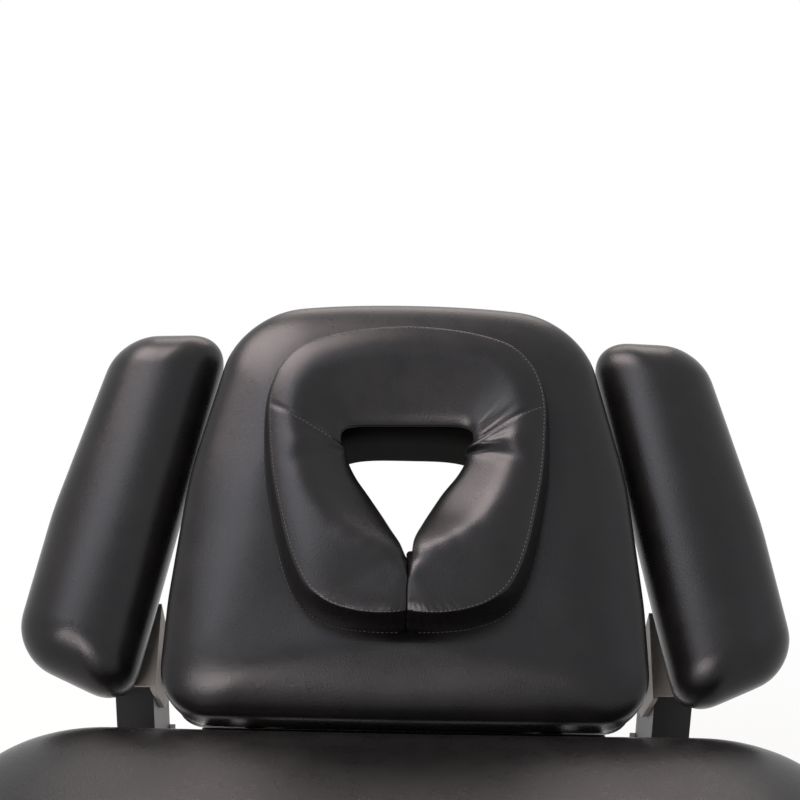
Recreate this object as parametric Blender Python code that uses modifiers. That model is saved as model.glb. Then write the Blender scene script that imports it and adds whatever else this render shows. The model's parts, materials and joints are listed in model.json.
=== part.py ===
"""Electric massage table: a wide main section and a tilting head section with a face cushion and two arm
rests, on a scissor lift driven by a linear actuator. Metres, +Z up, head end towards +Y, floor at Z = 0."""

import math

import bmesh
import bpy
from mathutils import Matrix, Vector

# Clearances
SEAT_GAP = 0.0003
RUNNING_GAP = 0.0005
PAD_GAP = 0.0006

# Upholstery
PAD_THICKNESS = 0.075
PAD_CROWN = 0.006
PAD_ROLL = 0.026
PAD_BULGE = 0.004
BOARD_THICKNESS = 0.015
BOARD_INSET = 0.014
MAIN_WIDTH = 0.80
MAIN_LENGTH = 1.40
MAIN_CORNER = 0.120
HEAD_BASE_WIDTH = 0.482
HEAD_TOP_WIDTH = 0.371
HEAD_LENGTH = 0.444
HEAD_BASE_CORNER = 0.042
HEAD_TOP_CORNER = 0.085
HEAD_SIDE_BULGE = 0.0155
HEAD_SIDE_CURVE = 0.40
HEAD_GAP = 0.052
FACE_HOLE_WIDTH = 0.165
FACE_HOLE_LENGTH = 0.224
FACE_HOLE_START = 0.074
ARM_WIDTH = 0.132
ARM_LENGTH = 0.418
ARM_OUTER_CORNER = 0.050
ARM_INNER_CORNER = 0.028
ARM_TOP_FALL = 0.025
ARM_LOW_RISE = 0.028
ARM_SIDE_CURVE = 0.40
ARM_PAD_THICKNESS = 0.068
ARM_BOARD_THICKNESS = 0.012
ARM_BOARD_INSET = 0.010

# Face cushion: a horseshoe band round the face opening
CUSHION_WIDTH = 0.290
CUSHION_LENGTH = 0.318
CUSHION_START = 0.072
CUSHION_BAND = 0.098
CUSHION_THIN = 0.040
CUSHION_THICK = 0.066
CUSHION_SLIT = 0.0016

# Scissor lift
ARM_SPAN = 0.80
LIFT_ANGLE = math.radians(36.0)
LIFT_HIGHEST = math.radians(56.0)
LINK_HEIGHT = 0.050
LINK_THICKNESS = 0.010
LINK_GAP = 0.008
SHAFT_RADIUS = 0.008
ROLLER_WIDTH = 0.018

# Frame
RAIL_HEIGHT = 0.050
RAIL_DEPTH = 0.035
RAIL_WALL = 0.004
RAIL_TRACK_X = 0.275
BASE_RAIL_LENGTH = 1.00
TOP_RAIL_LENGTH = 1.27
TOP_RAIL_INSET = 0.025
BAR_WIDTH = 0.060
BAR_HEIGHT = 0.030
BASE_BAR_SPAN = 0.700
CROSS_TUBE = 0.040
TUBE_WALL = 0.003
CROSS_TUBE_SPAN = 0.720
FOOT_RADIUS = 0.024
FOOT_HEIGHT = 0.020
FIXED_PIVOT_SETBACK = 0.190
HEAD_TUBE_SETBACK = 0.090
FOOT_TUBE_SETBACK = 0.110

# Head hinge and its actuator
HINGE_SETBACK = 0.020
HINGE_BELOW_TOP = 0.080
HINGE_PIN_RADIUS = 0.006
HINGE_X = 0.150
HEAD_TILT = math.radians(45.0)
HEAD_LOWEST = math.radians(-10.0)
HEAD_RAIL_WIDTH = 0.020
HEAD_RAIL_HEIGHT = 0.025
EAR_THICKNESS = 0.006
LEVER_REACH = 0.131
LEVER_THICKNESS = 0.006
LEVER_HALF_GAP = 0.016
SLOT_CLEARANCE = 0.0027
ACTUATOR_RADIUS = 0.022
ACTUATOR_ROD_RADIUS = 0.010
ROD_EYE_LENGTH = 0.030

# Arm rests: posts that slide in sleeves, and brackets that tilt on the posts
POST_X = 0.284
POST_WIDTH = 0.040
POST_DEPTH = 0.100
POST_WALL = 0.004
POST_FRONT = 0.1375
POST_LENGTH = 0.270
POST_TOP_BELOW_PAD = 0.046
SLEEVE_WALL = 0.005
SLEEVE_HEIGHT = 0.110
ARM_PIVOT_BEHIND = 0.190
ARM_PIVOT_BELOW = 0.060
ARM_BOARD_ABOVE_PIVOT = 0.0665
ARM_LOW_END = 0.054
ARM_TOE_IN = math.radians(11.8)
ARM_CENTRE_X = 0.3335
BRACKET_THICKNESS = 0.005
BRACKET_WIDTH = 0.092
BRACKET_FLANGE = 0.060
KNOB_RADIUS = 0.017

# Derived levels, from the floor up
BASE_RAIL_Z = FOOT_HEIGHT + BAR_HEIGHT + 2 * SEAT_GAP + RAIL_HEIGHT / 2
LIFT_RISE = ARM_SPAN * math.sin(LIFT_ANGLE)
LIFT_REACH = ARM_SPAN * math.cos(LIFT_ANGLE)
TOP_RAIL_Z = BASE_RAIL_Z + LIFT_RISE
BOARD_Z = TOP_RAIL_Z + RAIL_HEIGHT / 2 + SEAT_GAP
PAD_Z = BOARD_Z + BOARD_THICKNESS + PAD_GAP
PAD_TOP_Z = PAD_Z + PAD_THICKNESS

# Derived places along the table: the whole outline is centred on Y = 0
HEAD_EDGE = HEAD_GAP + HEAD_LENGTH - BOARD_INSET
HEAD_DROP = BOARD_THICKNESS + PAD_GAP + PAD_THICKNESS - HINGE_BELOW_TOP
HEAD_REACH = HINGE_SETBACK + HEAD_EDGE * math.cos(HEAD_TILT) + HEAD_DROP * math.sin(HEAD_TILT)
MAIN_END_Y = (MAIN_LENGTH - HEAD_REACH) / 2
MAIN_FOOT_Y = MAIN_END_Y - MAIN_LENGTH
FIXED_PIVOT_Y = MAIN_END_Y - FIXED_PIVOT_SETBACK
HINGE_Y = MAIN_END_Y + HINGE_SETBACK
HINGE_Z = PAD_TOP_Z - HINGE_BELOW_TOP
ARM_PIVOT_Y = MAIN_END_Y + ARM_PIVOT_BEHIND
ARM_PIVOT_Z = PAD_TOP_Z - ARM_PIVOT_BELOW
HEAD_TUBE_Y = MAIN_END_Y - HEAD_TUBE_SETBACK
HEAD_TUBE_TOP = TOP_RAIL_Z - RAIL_HEIGHT / 2 - SEAT_GAP
OUTER_LINK_X = RAIL_TRACK_X - RAIL_DEPTH - 0.009 - LINK_THICKNESS / 2
INNER_LINK_X = OUTER_LINK_X - LINK_THICKNESS - LINK_GAP


def clear_scene():
    for item in list(bpy.data.objects):
        bpy.data.objects.remove(item, do_unlink=True)


def new_collection(name):
    made = bpy.data.collections.new(name)
    bpy.context.scene.collection.children.link(made)
    return made


def make_material(name, colour, roughness, metallic=0.0):
    made = bpy.data.materials.new(name)
    made.use_nodes = True
    shader = made.node_tree.nodes["Principled BSDF"]
    shader.inputs["Base Color"].default_value = (*colour, 1.0)
    shader.inputs["Roughness"].default_value = roughness
    shader.inputs["Metallic"].default_value = metallic
    made.diffuse_color = (*colour, 1.0)
    return made


clear_scene()
PARTS = new_collection("electric_massage_table")
CUTTERS = new_collection("cutters")
VINYL = make_material("black_vinyl", (0.022, 0.022, 0.024), 0.42)
BOARD = make_material("sealed_plywood", (0.05, 0.045, 0.04), 0.7)
STEEL = make_material("black_powder_coat", (0.03, 0.03, 0.034), 0.45, 0.2)
BRIGHT = make_material("zinc_plated_steel", (0.55, 0.55, 0.56), 0.3, 1.0)
PLASTIC = make_material("black_plastic", (0.02, 0.02, 0.02), 0.5)
RUBBER = make_material("rubber", (0.02, 0.02, 0.02), 0.85)


# Joint frames: every moving group hangs from an empty on its joint axis
def joint_frame(name, place, parent=None, tilt=0.0):
    made = bpy.data.objects.new(name, None)
    PARTS.objects.link(made)
    made.parent = parent
    made.location = place
    made.rotation_euler = (tilt, 0.0, 0.0)
    return made


def finish(made, material, parent=None, smooth=True):
    made.data.materials.append(material)
    made.parent = parent
    if made.type == "MESH" and smooth:
        made.data.shade_smooth()
        made.data.set_sharp_from_angle(angle=math.radians(40))
    PARTS.objects.link(made)
    return made


def box(name, low, high, material, parent=None, bevel=0.0, segments=1):
    """A block between two corners, with rounded edges if bevel is set."""
    shape = bmesh.new()
    bmesh.ops.create_cube(shape, size=1.0)
    size = [b - a for a, b in zip(low, high)]
    middle = [(a + b) / 2 for a, b in zip(low, high)]
    bmesh.ops.scale(shape, vec=size, verts=shape.verts)
    bmesh.ops.translate(shape, vec=middle, verts=shape.verts)
    mesh = bpy.data.meshes.new(name)
    shape.to_mesh(mesh)
    shape.free()
    made = finish(bpy.data.objects.new(name, mesh), material, parent, smooth=False)
    if bevel:
        rounding = made.modifiers.new("rounded_edges", "BEVEL")
        rounding.width = bevel
        rounding.segments = segments
    return made


AXIS_TURN = {
    "X": Matrix(((0, 0, 1), (1, 0, 0), (0, 1, 0))),
    "Y": Matrix(((1, 0, 0), (0, 0, -1), (0, 1, 0))),
    "Z": Matrix.Identity(3),
}
AXIS_LINE = {"X": Vector((1, 0, 0)), "Y": Vector((0, 1, 0)), "Z": Vector((0, 0, 1))}


def rod(name, axis, place, start, end, radius, material, parent=None, sides=20):
    """A solid bar along an axis, from start to end on that axis, through place."""
    shape = bmesh.new()
    bmesh.ops.create_cone(
        shape, cap_ends=True, segments=sides, radius1=radius, radius2=radius, depth=end - start
    )
    bmesh.ops.rotate(shape, matrix=AXIS_TURN[axis], verts=shape.verts)
    centre = Vector(place) + AXIS_LINE[axis] * (start + end) / 2
    bmesh.ops.translate(shape, vec=centre, verts=shape.verts)
    mesh = bpy.data.meshes.new(name)
    shape.to_mesh(mesh)
    shape.free()
    return finish(bpy.data.objects.new(name, mesh), material, parent)


def circle(centre, radius, sides=16):
    step = 2 * math.pi / sides
    return [
        (centre[0] + radius * math.cos(i * step), centre[1] + radius * math.sin(i * step))
        for i in range(sides)
    ]


def rectangle(low, high):
    return [(low[0], low[1]), (high[0], low[1]), (high[0], high[1]), (low[0], high[1])]


def arc(centre, radius, start, end, steps):
    """Points on an arc, in degrees, both ends included."""
    found = []
    for i in range(steps + 1):
        angle = math.radians(start + (end - start) * i / steps)
        found.append((centre[0] + radius * math.cos(angle), centre[1] + radius * math.sin(angle)))
    return found


def plate(name, outlines, axis, low, high, material, parent=None, to_mesh=False):
    """A flat outline with its holes, from low to high along an axis.
    Outlines are (y, z) for X, (x, z) for Y and (x, y) for Z."""
    curve = bpy.data.curves.new(name, "CURVE")
    curve.dimensions = "2D"
    curve.fill_mode = "BOTH"
    curve.extrude = (high - low) / 2
    for outline in outlines:
        spline = curve.splines.new("POLY")
        spline.points.add(len(outline) - 1)
        for point, (a, b) in zip(spline.points, outline):
            point.co = (a, b, 0.0, 1.0)
        spline.use_cyclic_u = True
    made = bpy.data.objects.new(name, curve)
    if to_mesh:
        mesh = bpy.data.meshes.new_from_object(made)
        bpy.data.objects.remove(made, do_unlink=True)
        shape = bmesh.new()
        shape.from_mesh(mesh)
        bmesh.ops.remove_doubles(shape, verts=shape.verts, dist=1e-6)
        bmesh.ops.recalc_face_normals(shape, faces=shape.faces)
        shape.to_mesh(mesh)
        shape.free()
        made = bpy.data.objects.new(name, mesh)
    made.rotation_euler = AXIS_TURN[axis].to_euler()
    made.location = AXIS_LINE[axis] * (low + high) / 2
    return finish(made, material, parent)


def stepped_rod(name, axis, place, steps, material, parent=None, sides=20):
    """A turned bar along an axis, from (start, end, radius) lengths that follow one another."""
    rings = []
    for start, end, radius in steps:
        for at in (start, end):
            ring = [(a, b, at) for a, b in circle((0, 0), radius, sides)]
            rings.append([AXIS_TURN[axis] @ Vector(p) + Vector(place) for p in ring])
    return loft(name, rings, material, parent)


def weld(made, pieces):
    """Join pieces into one solid with made. They stay as hidden cutters."""
    for piece in pieces:
        PARTS.objects.unlink(piece)
        CUTTERS.objects.link(piece)
        piece.hide_render = True
        piece.display_type = "WIRE"
        joined = made.modifiers.new(f"weld_{piece.name}", "BOOLEAN")
        joined.operation = "UNION"
        joined.solver = "EXACT"
        joined.object = piece
    return made


# Pads: closed lofts of rings, each ring the plan outline moved in or out
def offset_ring(outline, distance):
    """The outline moved inwards by distance along its own normals."""
    count = len(outline)
    moved = []
    for i, (x, y) in enumerate(outline):
        before, after = outline[i - 1], outline[(i + 1) % count]
        along = Vector((after[0] - before[0], after[1] - before[1])).normalized()
        moved.append((x - along.y * distance, y + along.x * distance))
    return moved


def rounded_outline(corners, per_side):
    """A closed counter-clockwise outline through (point, radius) corners, with per_side points between."""
    count = len(corners)
    found = []
    for i, (corner, radius) in enumerate(corners):
        here = Vector(corner)
        to_last = (Vector(corners[i - 1][0]) - here).normalized()
        to_next = (Vector(corners[(i + 1) % count][0]) - here).normalized()
        half = to_last.angle(to_next) / 2
        reach = radius / math.tan(half)
        centre = here + (to_last + to_next).normalized() * radius / math.sin(half)
        first = here + to_last * reach - centre
        last = here + to_next * reach - centre
        sweep = first.angle(last)
        start = math.atan2(first.y, first.x)
        for step in range(per_side):
            angle = start + sweep * step / (per_side - 1)
            found.append((centre.x + radius * math.cos(angle), centre.y + radius * math.sin(angle)))
        following, next_radius = corners[(i + 1) % count]
        next_half = (here - Vector(following)).angle(
            Vector(corners[(i + 2) % count][0]) - Vector(following)
        ) / 2
        straight_end = Vector(following) - to_next * next_radius / math.tan(next_half)
        straight_start = here + to_next * reach
        run = straight_end - straight_start
        pieces = max(1, round(run.length / 0.16))
        for step in range(1, pieces):
            found.append(tuple(straight_start + run * step / pieces))
    return found


def loft(name, rings, material, parent, closed_tube=False):
    """A closed solid through rings of equal count. A closed tube also joins its last ring to its first."""
    shape = bmesh.new()
    loops = [[shape.verts.new(point) for point in ring] for ring in rings]
    count = len(loops[0])
    pairs = list(zip(loops, loops[1:]))
    if closed_tube:
        pairs.append((loops[-1], loops[0]))
    else:
        shape.faces.new(loops[0])
        shape.faces.new(loops[-1])
    for first, second in pairs:
        for i in range(count):
            j = (i + 1) % count
            shape.faces.new((first[i], first[j], second[j], second[i]))
    bmesh.ops.recalc_face_normals(shape, faces=shape.faces)
    if shape.calc_volume(signed=True) < 0:
        bmesh.ops.reverse_faces(shape, faces=shape.faces)
    mesh = bpy.data.meshes.new(name)
    shape.to_mesh(mesh)
    shape.free()
    return finish(bpy.data.objects.new(name, mesh), material, parent)


def pad_profile(thickness, roll, bulge):
    """(inset, height) pairs up a pad's drawn-in side: in at the foot, out at the middle, in over the roll."""
    side = [(bulge + 0.006, 0.0), (bulge + 0.0015, 0.010), (0.0, (thickness - roll) * 0.75)]
    for degrees in (30, 60, 90):
        turn = math.radians(degrees)
        side.append((roll * (1 - math.cos(turn)), thickness - roll + roll * math.sin(turn) - 0.002))
    return side


def crowned_pad(name, outline, base, thickness, parent, roll=PAD_ROLL, inner=(0.3, 0.65)):
    """A crowned cushion on a flat foot: drawn-in sides, a rolled edge and a top that swells to its middle."""
    rings = []
    for inset, height in pad_profile(thickness, roll, PAD_BULGE):
        rings.append([(x, y, base + height) for x, y in offset_ring(outline, inset)])
    middle = Vector((sum(p[0] for p in outline), sum(p[1] for p in outline))) / len(outline)
    rim = offset_ring(outline, roll)
    for share in inner:
        swell = PAD_CROWN * (1 - (1 - share) ** 2)
        ring = [Vector(p).lerp(middle, share) for p in rim]
        rings.append([(p.x, p.y, base + thickness - 0.002 + swell) for p in ring])
    return loft(name, rings, VINYL, parent)


def sides(name):
    """The two mirror-image copies of a piece: its name on each side and the sign of X there."""
    return [(f"{name}_left", -1), (f"{name}_right", 1)]


def tube_section(low, high):
    """The two outlines of a box tube with rounded outer corners."""
    corner = 0.004
    middle = [(a + b) / 2 for a, b in zip(low, high)]
    outer = []
    for across, up, start in ((1, 1, 0), (-1, 1, 90), (-1, -1, 180), (1, -1, 270)):
        centre = [m + sign * ((b - a) / 2 - corner) for m, sign, a, b in zip(middle, (across, up), low, high)]
        outer += arc(centre, corner, start, start + 90, 2)
    inner = rectangle([a + TUBE_WALL for a in low], [b - TUBE_WALL for b in high])
    return [outer, inner]


def span_x(side, inner, outer):
    """An X range on one side, lower value first."""
    return sorted((side * inner, side * outer))


# Base frame
def c_rail(name, side, z, start, end, parent=None):
    """A channel rail open towards the middle of the table, used as a roller track."""
    web, lip = side * RAIL_TRACK_X, side * (RAIL_TRACK_X - RAIL_DEPTH)
    inner_web = side * (RAIL_TRACK_X - RAIL_WALL)
    half, inner = RAIL_HEIGHT / 2, RAIL_HEIGHT / 2 - RAIL_WALL
    outline = [
        (web, z - half), (lip, z - half), (lip, z - inner), (inner_web, z - inner),
        (inner_web, z + inner), (lip, z + inner), (lip, z + half), (web, z + half),
    ]
    plate(name, [outline], "Y", start, end, STEEL, parent)


BASE_HEAD_Y = FIXED_PIVOT_Y + 0.13
BASE_FOOT_Y = BASE_HEAD_Y - BASE_RAIL_LENGTH
HEAD_BAR_Y = FIXED_PIVOT_Y + 0.030
FOOT_BAR_Y = BASE_FOOT_Y + 0.060
BAR_TOP_Z = FOOT_HEIGHT + SEAT_GAP + BAR_HEIGHT


def build_base():
    for name, side in sides("base_rail"):
        c_rail(name, side, BASE_RAIL_Z, BASE_FOOT_Y, BASE_HEAD_Y)
    for end, y in (("head", HEAD_BAR_Y), ("foot", FOOT_BAR_Y)):
        section = tube_section((y - BAR_WIDTH / 2, FOOT_HEIGHT + SEAT_GAP), (y + BAR_WIDTH / 2, BAR_TOP_Z))
        plate(f"base_bar_{end}", section, "X", -BASE_BAR_SPAN / 2, BASE_BAR_SPAN / 2, STEEL)
        for name, side in sides(f"rubber_foot_{end}"):
            x = side * (BASE_BAR_SPAN / 2 - FOOT_RADIUS - 0.004)
            rod(name, "Z", (x, y, 0.0), 0.0, FOOT_HEIGHT, FOOT_RADIUS, RUBBER, sides=24)
    for name, side in sides("base_pivot_pin"):
        start, end = span_x(side, INNER_LINK_X + LINK_THICKNESS, RAIL_TRACK_X - RAIL_WALL - SEAT_GAP)
        rod(name, "X", (0, FIXED_PIVOT_Y, BASE_RAIL_Z), start, end, SHAFT_RADIUS, BRIGHT)


# Lift actuator: a tube along the base that pulls the sliding ends of the links towards the head end
LIFT_TUBE_RADIUS = 0.022
LIFT_TUBE_FRONT = FIXED_PIVOT_Y - ARM_SPAN * math.cos(LIFT_HIGHEST) + 0.055
LIFT_TUBE_BACK = FIXED_PIVOT_Y - 0.010
LIFT_GEARBOX_LENGTH = 0.080
LIFT_ROD_LENGTH = 0.385


def motor_unit(name, low, high, motor_axis, motor_at, motor_run, motor_radius):
    """A gearbox block with a round motor standing on it."""
    block = box(name, low, high, PLASTIC, bevel=0.004, segments=2)
    motor = rod(f"{name}_can", motor_axis, motor_at, *motor_run, motor_radius, PLASTIC, sides=24)
    weld(block, [motor])


def build_lift_actuator(carriage):
    axis = (0.0, BASE_RAIL_Z)
    tube = [circle(axis, LIFT_TUBE_RADIUS, 24), circle(axis, ACTUATOR_ROD_RADIUS + RUNNING_GAP, 16)]
    plate("lift_actuator_tube", tube, "Y", LIFT_TUBE_FRONT, LIFT_TUBE_BACK, BRIGHT)
    top = BASE_RAIL_Z + 0.030
    motor_unit(
        "lift_motor", (-0.035, LIFT_TUBE_BACK + SEAT_GAP, BAR_TOP_Z + SEAT_GAP),
        (0.035, LIFT_TUBE_BACK + LIFT_GEARBOX_LENGTH, top),
        "Z", (0, LIFT_TUBE_BACK + LIFT_GEARBOX_LENGTH / 2, 0), (top - 0.010, top + 0.080), 0.029,
    )
    eye = [circle((0, 0), 0.020, 20), circle((0, 0), SHAFT_RADIUS + RUNNING_GAP, 16)]
    ring = plate("lift_rod_eye", eye, "X", -0.012, 0.012, BRIGHT, carriage, to_mesh=True)
    made = rod(
        "lift_actuator_rod", "Y", (0, 0, 0), 0.014, LIFT_ROD_LENGTH, ACTUATOR_ROD_RADIUS, BRIGHT, carriage,
    )
    weld(made, [ring])


# Electrics on the base
CONTROL_BOX_WIDTH = 0.220
CONTROL_BOX_HEIGHT = 0.060


def build_electrics():
    back = FOOT_BAR_Y - BAR_WIDTH / 2
    front = FOOT_BAR_Y + BAR_WIDTH / 2
    half = CONTROL_BOX_WIDTH / 2
    box(
        "control_box", (-half, back, BAR_TOP_Z + SEAT_GAP), (half, front, BAR_TOP_Z + CONTROL_BOX_HEIGHT),
        PLASTIC, bevel=0.006, segments=2,
    )
    inlet_z = BAR_TOP_Z + CONTROL_BOX_HEIGHT / 2
    inlet = [
        rectangle((0.030, inlet_z - 0.016), (0.080, inlet_z + 0.016)),
        rectangle((0.041, inlet_z - 0.009), (0.069, inlet_z + 0.009)),
    ]
    plate("mains_inlet", inlet, "Y", back - 0.014, back - SEAT_GAP, PLASTIC)


PEDAL_PIN_RADIUS = 0.003
PEDAL_Y = FOOT_BAR_Y - BAR_WIDTH / 2 - 0.062
PEDAL_X = 0.062
PEDAL_Z = 0.046
PEDAL_HALF_LENGTH = 0.045
TRAY_FLOOR = 0.004
TRAY_BACK_HEIGHT = 0.034
TRAY_FRONT_HEIGHT = 0.020


def build_pedals():
    back = FOOT_BAR_Y - BAR_WIDTH / 2 - SEAT_GAP
    front = PEDAL_Y - PEDAL_HALF_LENGTH
    dip = TRAY_BACK_HEIGHT - 0.004
    tray = [(front - 0.007, TRAY_FLOOR), (back, TRAY_FLOOR), (back, TRAY_BACK_HEIGHT)]
    tray += [(PEDAL_Y + PEDAL_HALF_LENGTH + 0.001, TRAY_BACK_HEIGHT), (PEDAL_Y + 0.010, dip)]
    tray += [(PEDAL_Y - 0.010, dip), (front - 0.003, TRAY_FRONT_HEIGHT)]
    half = 2 * PEDAL_X + 0.006
    housing = plate("pedal_housing", [tray], "X", -half, half, PLASTIC, to_mesh=True)
    cheek = rectangle((PEDAL_Y - 0.007, 0.026), (PEDAL_Y + 0.007, PEDAL_Z + 0.006))
    hole = circle((PEDAL_Y, PEDAL_Z), PEDAL_PIN_RADIUS + RUNNING_GAP, 12)
    cheeks = []
    for label, x in (("left", -2 * PEDAL_X), ("middle", 0.0), ("right", 2 * PEDAL_X)):
        made = plate(f"pedal_cheek_{label}", [cheek, hole], "X", x - 0.004, x + 0.004, PLASTIC, to_mesh=True)
        cheeks.append(made)
    weld(housing, cheeks)
    reach = 2 * PEDAL_X + 0.005
    rod("pedal_shaft", "X", (0, PEDAL_Y, PEDAL_Z), -reach, reach, PEDAL_PIN_RADIUS, BRIGHT, sides=12)
    for name, side in (("lift_pedal", -1), ("head_pedal", 1)):
        frame = joint_frame(f"{name}_joint", (0, PEDAL_Y, PEDAL_Z))
        start, end = span_x(side, 0.006, 2 * PEDAL_X - 0.006)
        tip = PEDAL_HALF_LENGTH
        outline = [(0.002 - tip, -0.001), (-0.012, -0.006), (0.012, -0.006), (tip - 0.002, -0.001)]
        outline += [(tip, 0.004), (tip - 0.003, 0.010), (0.012, 0.007)]
        outline += [(-0.012, 0.007), (0.003 - tip, 0.010), (-tip, 0.004)]
        hole = circle((0, 0), PEDAL_PIN_RADIUS + RUNNING_GAP, 12)
        plate(name, [outline, hole], "X", start, end, RUBBER, frame)


# Scissor links
def link_outline(start, end, height):
    """A round-ended bar outline between two pivots, in (y, z)."""
    along = Vector(end) - Vector(start)
    heading = math.degrees(math.atan2(along.y, along.x))
    far = arc(end, height / 2, heading - 90, heading + 90, 8)
    near = arc(start, height / 2, heading + 90, heading + 270, 8)
    return far + near


def build_link_pair(name, x_middle, start, end, parent):
    hole = SHAFT_RADIUS + RUNNING_GAP
    middle = [(a + b) / 2 for a, b in zip(start, end)]
    outlines = [link_outline(start, end, LINK_HEIGHT)]
    outlines += [circle(centre, hole, 16) for centre in (start, middle, end)]
    for label, side in sides(name):
        low, high = span_x(side, x_middle - LINK_THICKNESS / 2, x_middle + LINK_THICKNESS / 2)
        plate(label, outlines, "X", low, high, STEEL, parent)


def build_wheelset(name, parent):
    """A cross shaft on a joint axis with a track wheel turned on each end."""
    end = RAIL_TRACK_X - RAIL_WALL - 0.0015
    inner = end - ROLLER_WIDTH
    wheel = RAIL_HEIGHT / 2 - RAIL_WALL - RUNNING_GAP
    hub, spacer = inner - 0.005, SHAFT_RADIUS + 0.004
    steps = [(-end, -inner, wheel), (-inner, -hub, spacer), (-hub, hub, SHAFT_RADIUS)]
    steps += [(hub, inner, spacer), (inner, end, wheel)]
    stepped_rod(name, "X", (0, 0, 0), steps, BRIGHT, parent, sides=24)


def build_lift():
    outer = joint_frame("outer_links_joint", (0, FIXED_PIVOT_Y, BASE_RAIL_Z))
    build_link_pair("outer_link", OUTER_LINK_X, (0, 0), (-LIFT_REACH, LIFT_RISE), outer)
    upper = joint_frame("upper_roller_joint", (0, -LIFT_REACH, LIFT_RISE), outer)
    build_wheelset("upper_roller_shaft", upper)
    inner = joint_frame("inner_links_joint", (0, -LIFT_REACH / 2, LIFT_RISE / 2), outer)
    foot_end = (-LIFT_REACH / 2, -LIFT_RISE / 2)
    head_end = (LIFT_REACH / 2, LIFT_RISE / 2)
    build_link_pair("inner_link", INNER_LINK_X, foot_end, head_end, inner)
    reach = OUTER_LINK_X + LINK_THICKNESS / 2 + 0.004
    rod("scissor_centre_shaft", "X", (0, 0, 0), -reach, reach, SHAFT_RADIUS, BRIGHT, inner)
    carriage = joint_frame("carriage_joint", (0, *foot_end), inner)
    lower = joint_frame("lower_roller_joint", (0, 0, 0), carriage)
    build_wheelset("lower_roller_shaft", lower)
    build_lift_actuator(carriage)


# Table top: rails, cross tubes, hinge ears, sleeves
def build_top_frame():
    foot = MAIN_END_Y - TOP_RAIL_INSET - TOP_RAIL_LENGTH
    for name, side in sides("top_rail"):
        c_rail(name, side, TOP_RAIL_Z, foot, MAIN_END_Y - TOP_RAIL_INSET)
    tubes = {}
    for end, y in (("head", HEAD_TUBE_Y), ("foot", MAIN_FOOT_Y + FOOT_TUBE_SETBACK + CROSS_TUBE)):
        low = HEAD_TUBE_TOP - CROSS_TUBE
        section = tube_section((y - CROSS_TUBE / 2, low), (y + CROSS_TUBE / 2, HEAD_TUBE_TOP))
        half = CROSS_TUBE_SPAN / 2
        tubes[end] = plate(f"cross_tube_{end}", section, "X", -half, half, STEEL, to_mesh=True)
    end = RAIL_TRACK_X - RAIL_WALL - SEAT_GAP
    rod("top_pivot_shaft", "X", (0, FIXED_PIVOT_Y, TOP_RAIL_Z), -end, end, SHAFT_RADIUS, BRIGHT)
    low_z, back = HEAD_TUBE_TOP - 0.012, HEAD_TUBE_Y - CROSS_TUBE / 2 + 0.006
    shelf_z = BOARD_Z - 0.004
    radius = 0.013
    ear = [(back, low_z), (HINGE_Y + 0.004, low_z), (HINGE_Y + radius, low_z + 0.016)]
    ear += arc((HINGE_Y, HINGE_Z), radius, 0, 180, 8)
    ear += [(HINGE_Y - radius, shelf_z), (back, shelf_z)]
    hole = circle((HINGE_Y, HINGE_Z), HINGE_PIN_RADIUS + RUNNING_GAP, 14)
    ears = []
    for name, side in sides("hinge_ear"):
        inner = HINGE_X + HEAD_RAIL_WIDTH / 2 + 0.001
        low, high = span_x(side, inner, inner + EAR_THICKNESS)
        ears.append(plate(name, [ear, hole], "X", low, high, STEEL, to_mesh=True))
    weld(tubes["head"], ears)


def build_main_section():
    half, corner = MAIN_WIDTH / 2, MAIN_CORNER

    def outline(inset, points):
        low, high = MAIN_FOOT_Y + inset, MAIN_END_Y - inset
        reach, radius = half - inset, corner - inset
        corners = [((-reach, low), radius), ((reach, low), radius)]
        corners += [((reach, high), radius), ((-reach, high), radius)]
        return rounded_outline(corners, points)

    plate("main_board", [outline(BOARD_INSET, 7)], "Z", BOARD_Z, BOARD_Z + BOARD_THICKNESS, BOARD)
    crowned_pad("main_pad", outline(0.0, 8), PAD_Z, PAD_THICKNESS, None, inner=(0.08, 0.22, 0.5, 0.8))


# Head section, modelled flat in its hinge frame and tilted by it
HEAD_PAD_TOP = HINGE_BELOW_TOP
HEAD_PAD_BASE = HEAD_PAD_TOP - PAD_THICKNESS
HEAD_BOARD_TOP = HEAD_PAD_BASE - PAD_GAP
HEAD_RAIL_TOP = HEAD_BOARD_TOP - BOARD_THICKNESS - SEAT_GAP


def head_outline(inset, points, low_inset=None):
    """The head section's plan: bowed sides, narrower towards the top. Its lower edge can have its own inset."""
    low = HEAD_GAP + (inset if low_inset is None else low_inset)
    high = HEAD_GAP + HEAD_LENGTH - inset
    base, top = HEAD_BASE_WIDTH / 2 - inset, HEAD_TOP_WIDTH / 2 - inset
    small, large = HEAD_BASE_CORNER - inset, HEAD_TOP_CORNER - inset
    bulges = []
    for share, bulge in ((0.25, 0.66), (0.55, 1.0)):
        x = base + (top - base) * share + bulge * HEAD_SIDE_BULGE
        bulges.append((x, HEAD_GAP + share * HEAD_LENGTH))
    corners = [((-base, low), small), ((base, low), small)]
    corners += [((x, y), HEAD_SIDE_CURVE) for x, y in bulges]
    corners += [((top, high), large), ((-top, high), large)]
    corners += [((-x, y), HEAD_SIDE_CURVE) for x, y in reversed(bulges)]
    return rounded_outline(corners, points)


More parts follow.
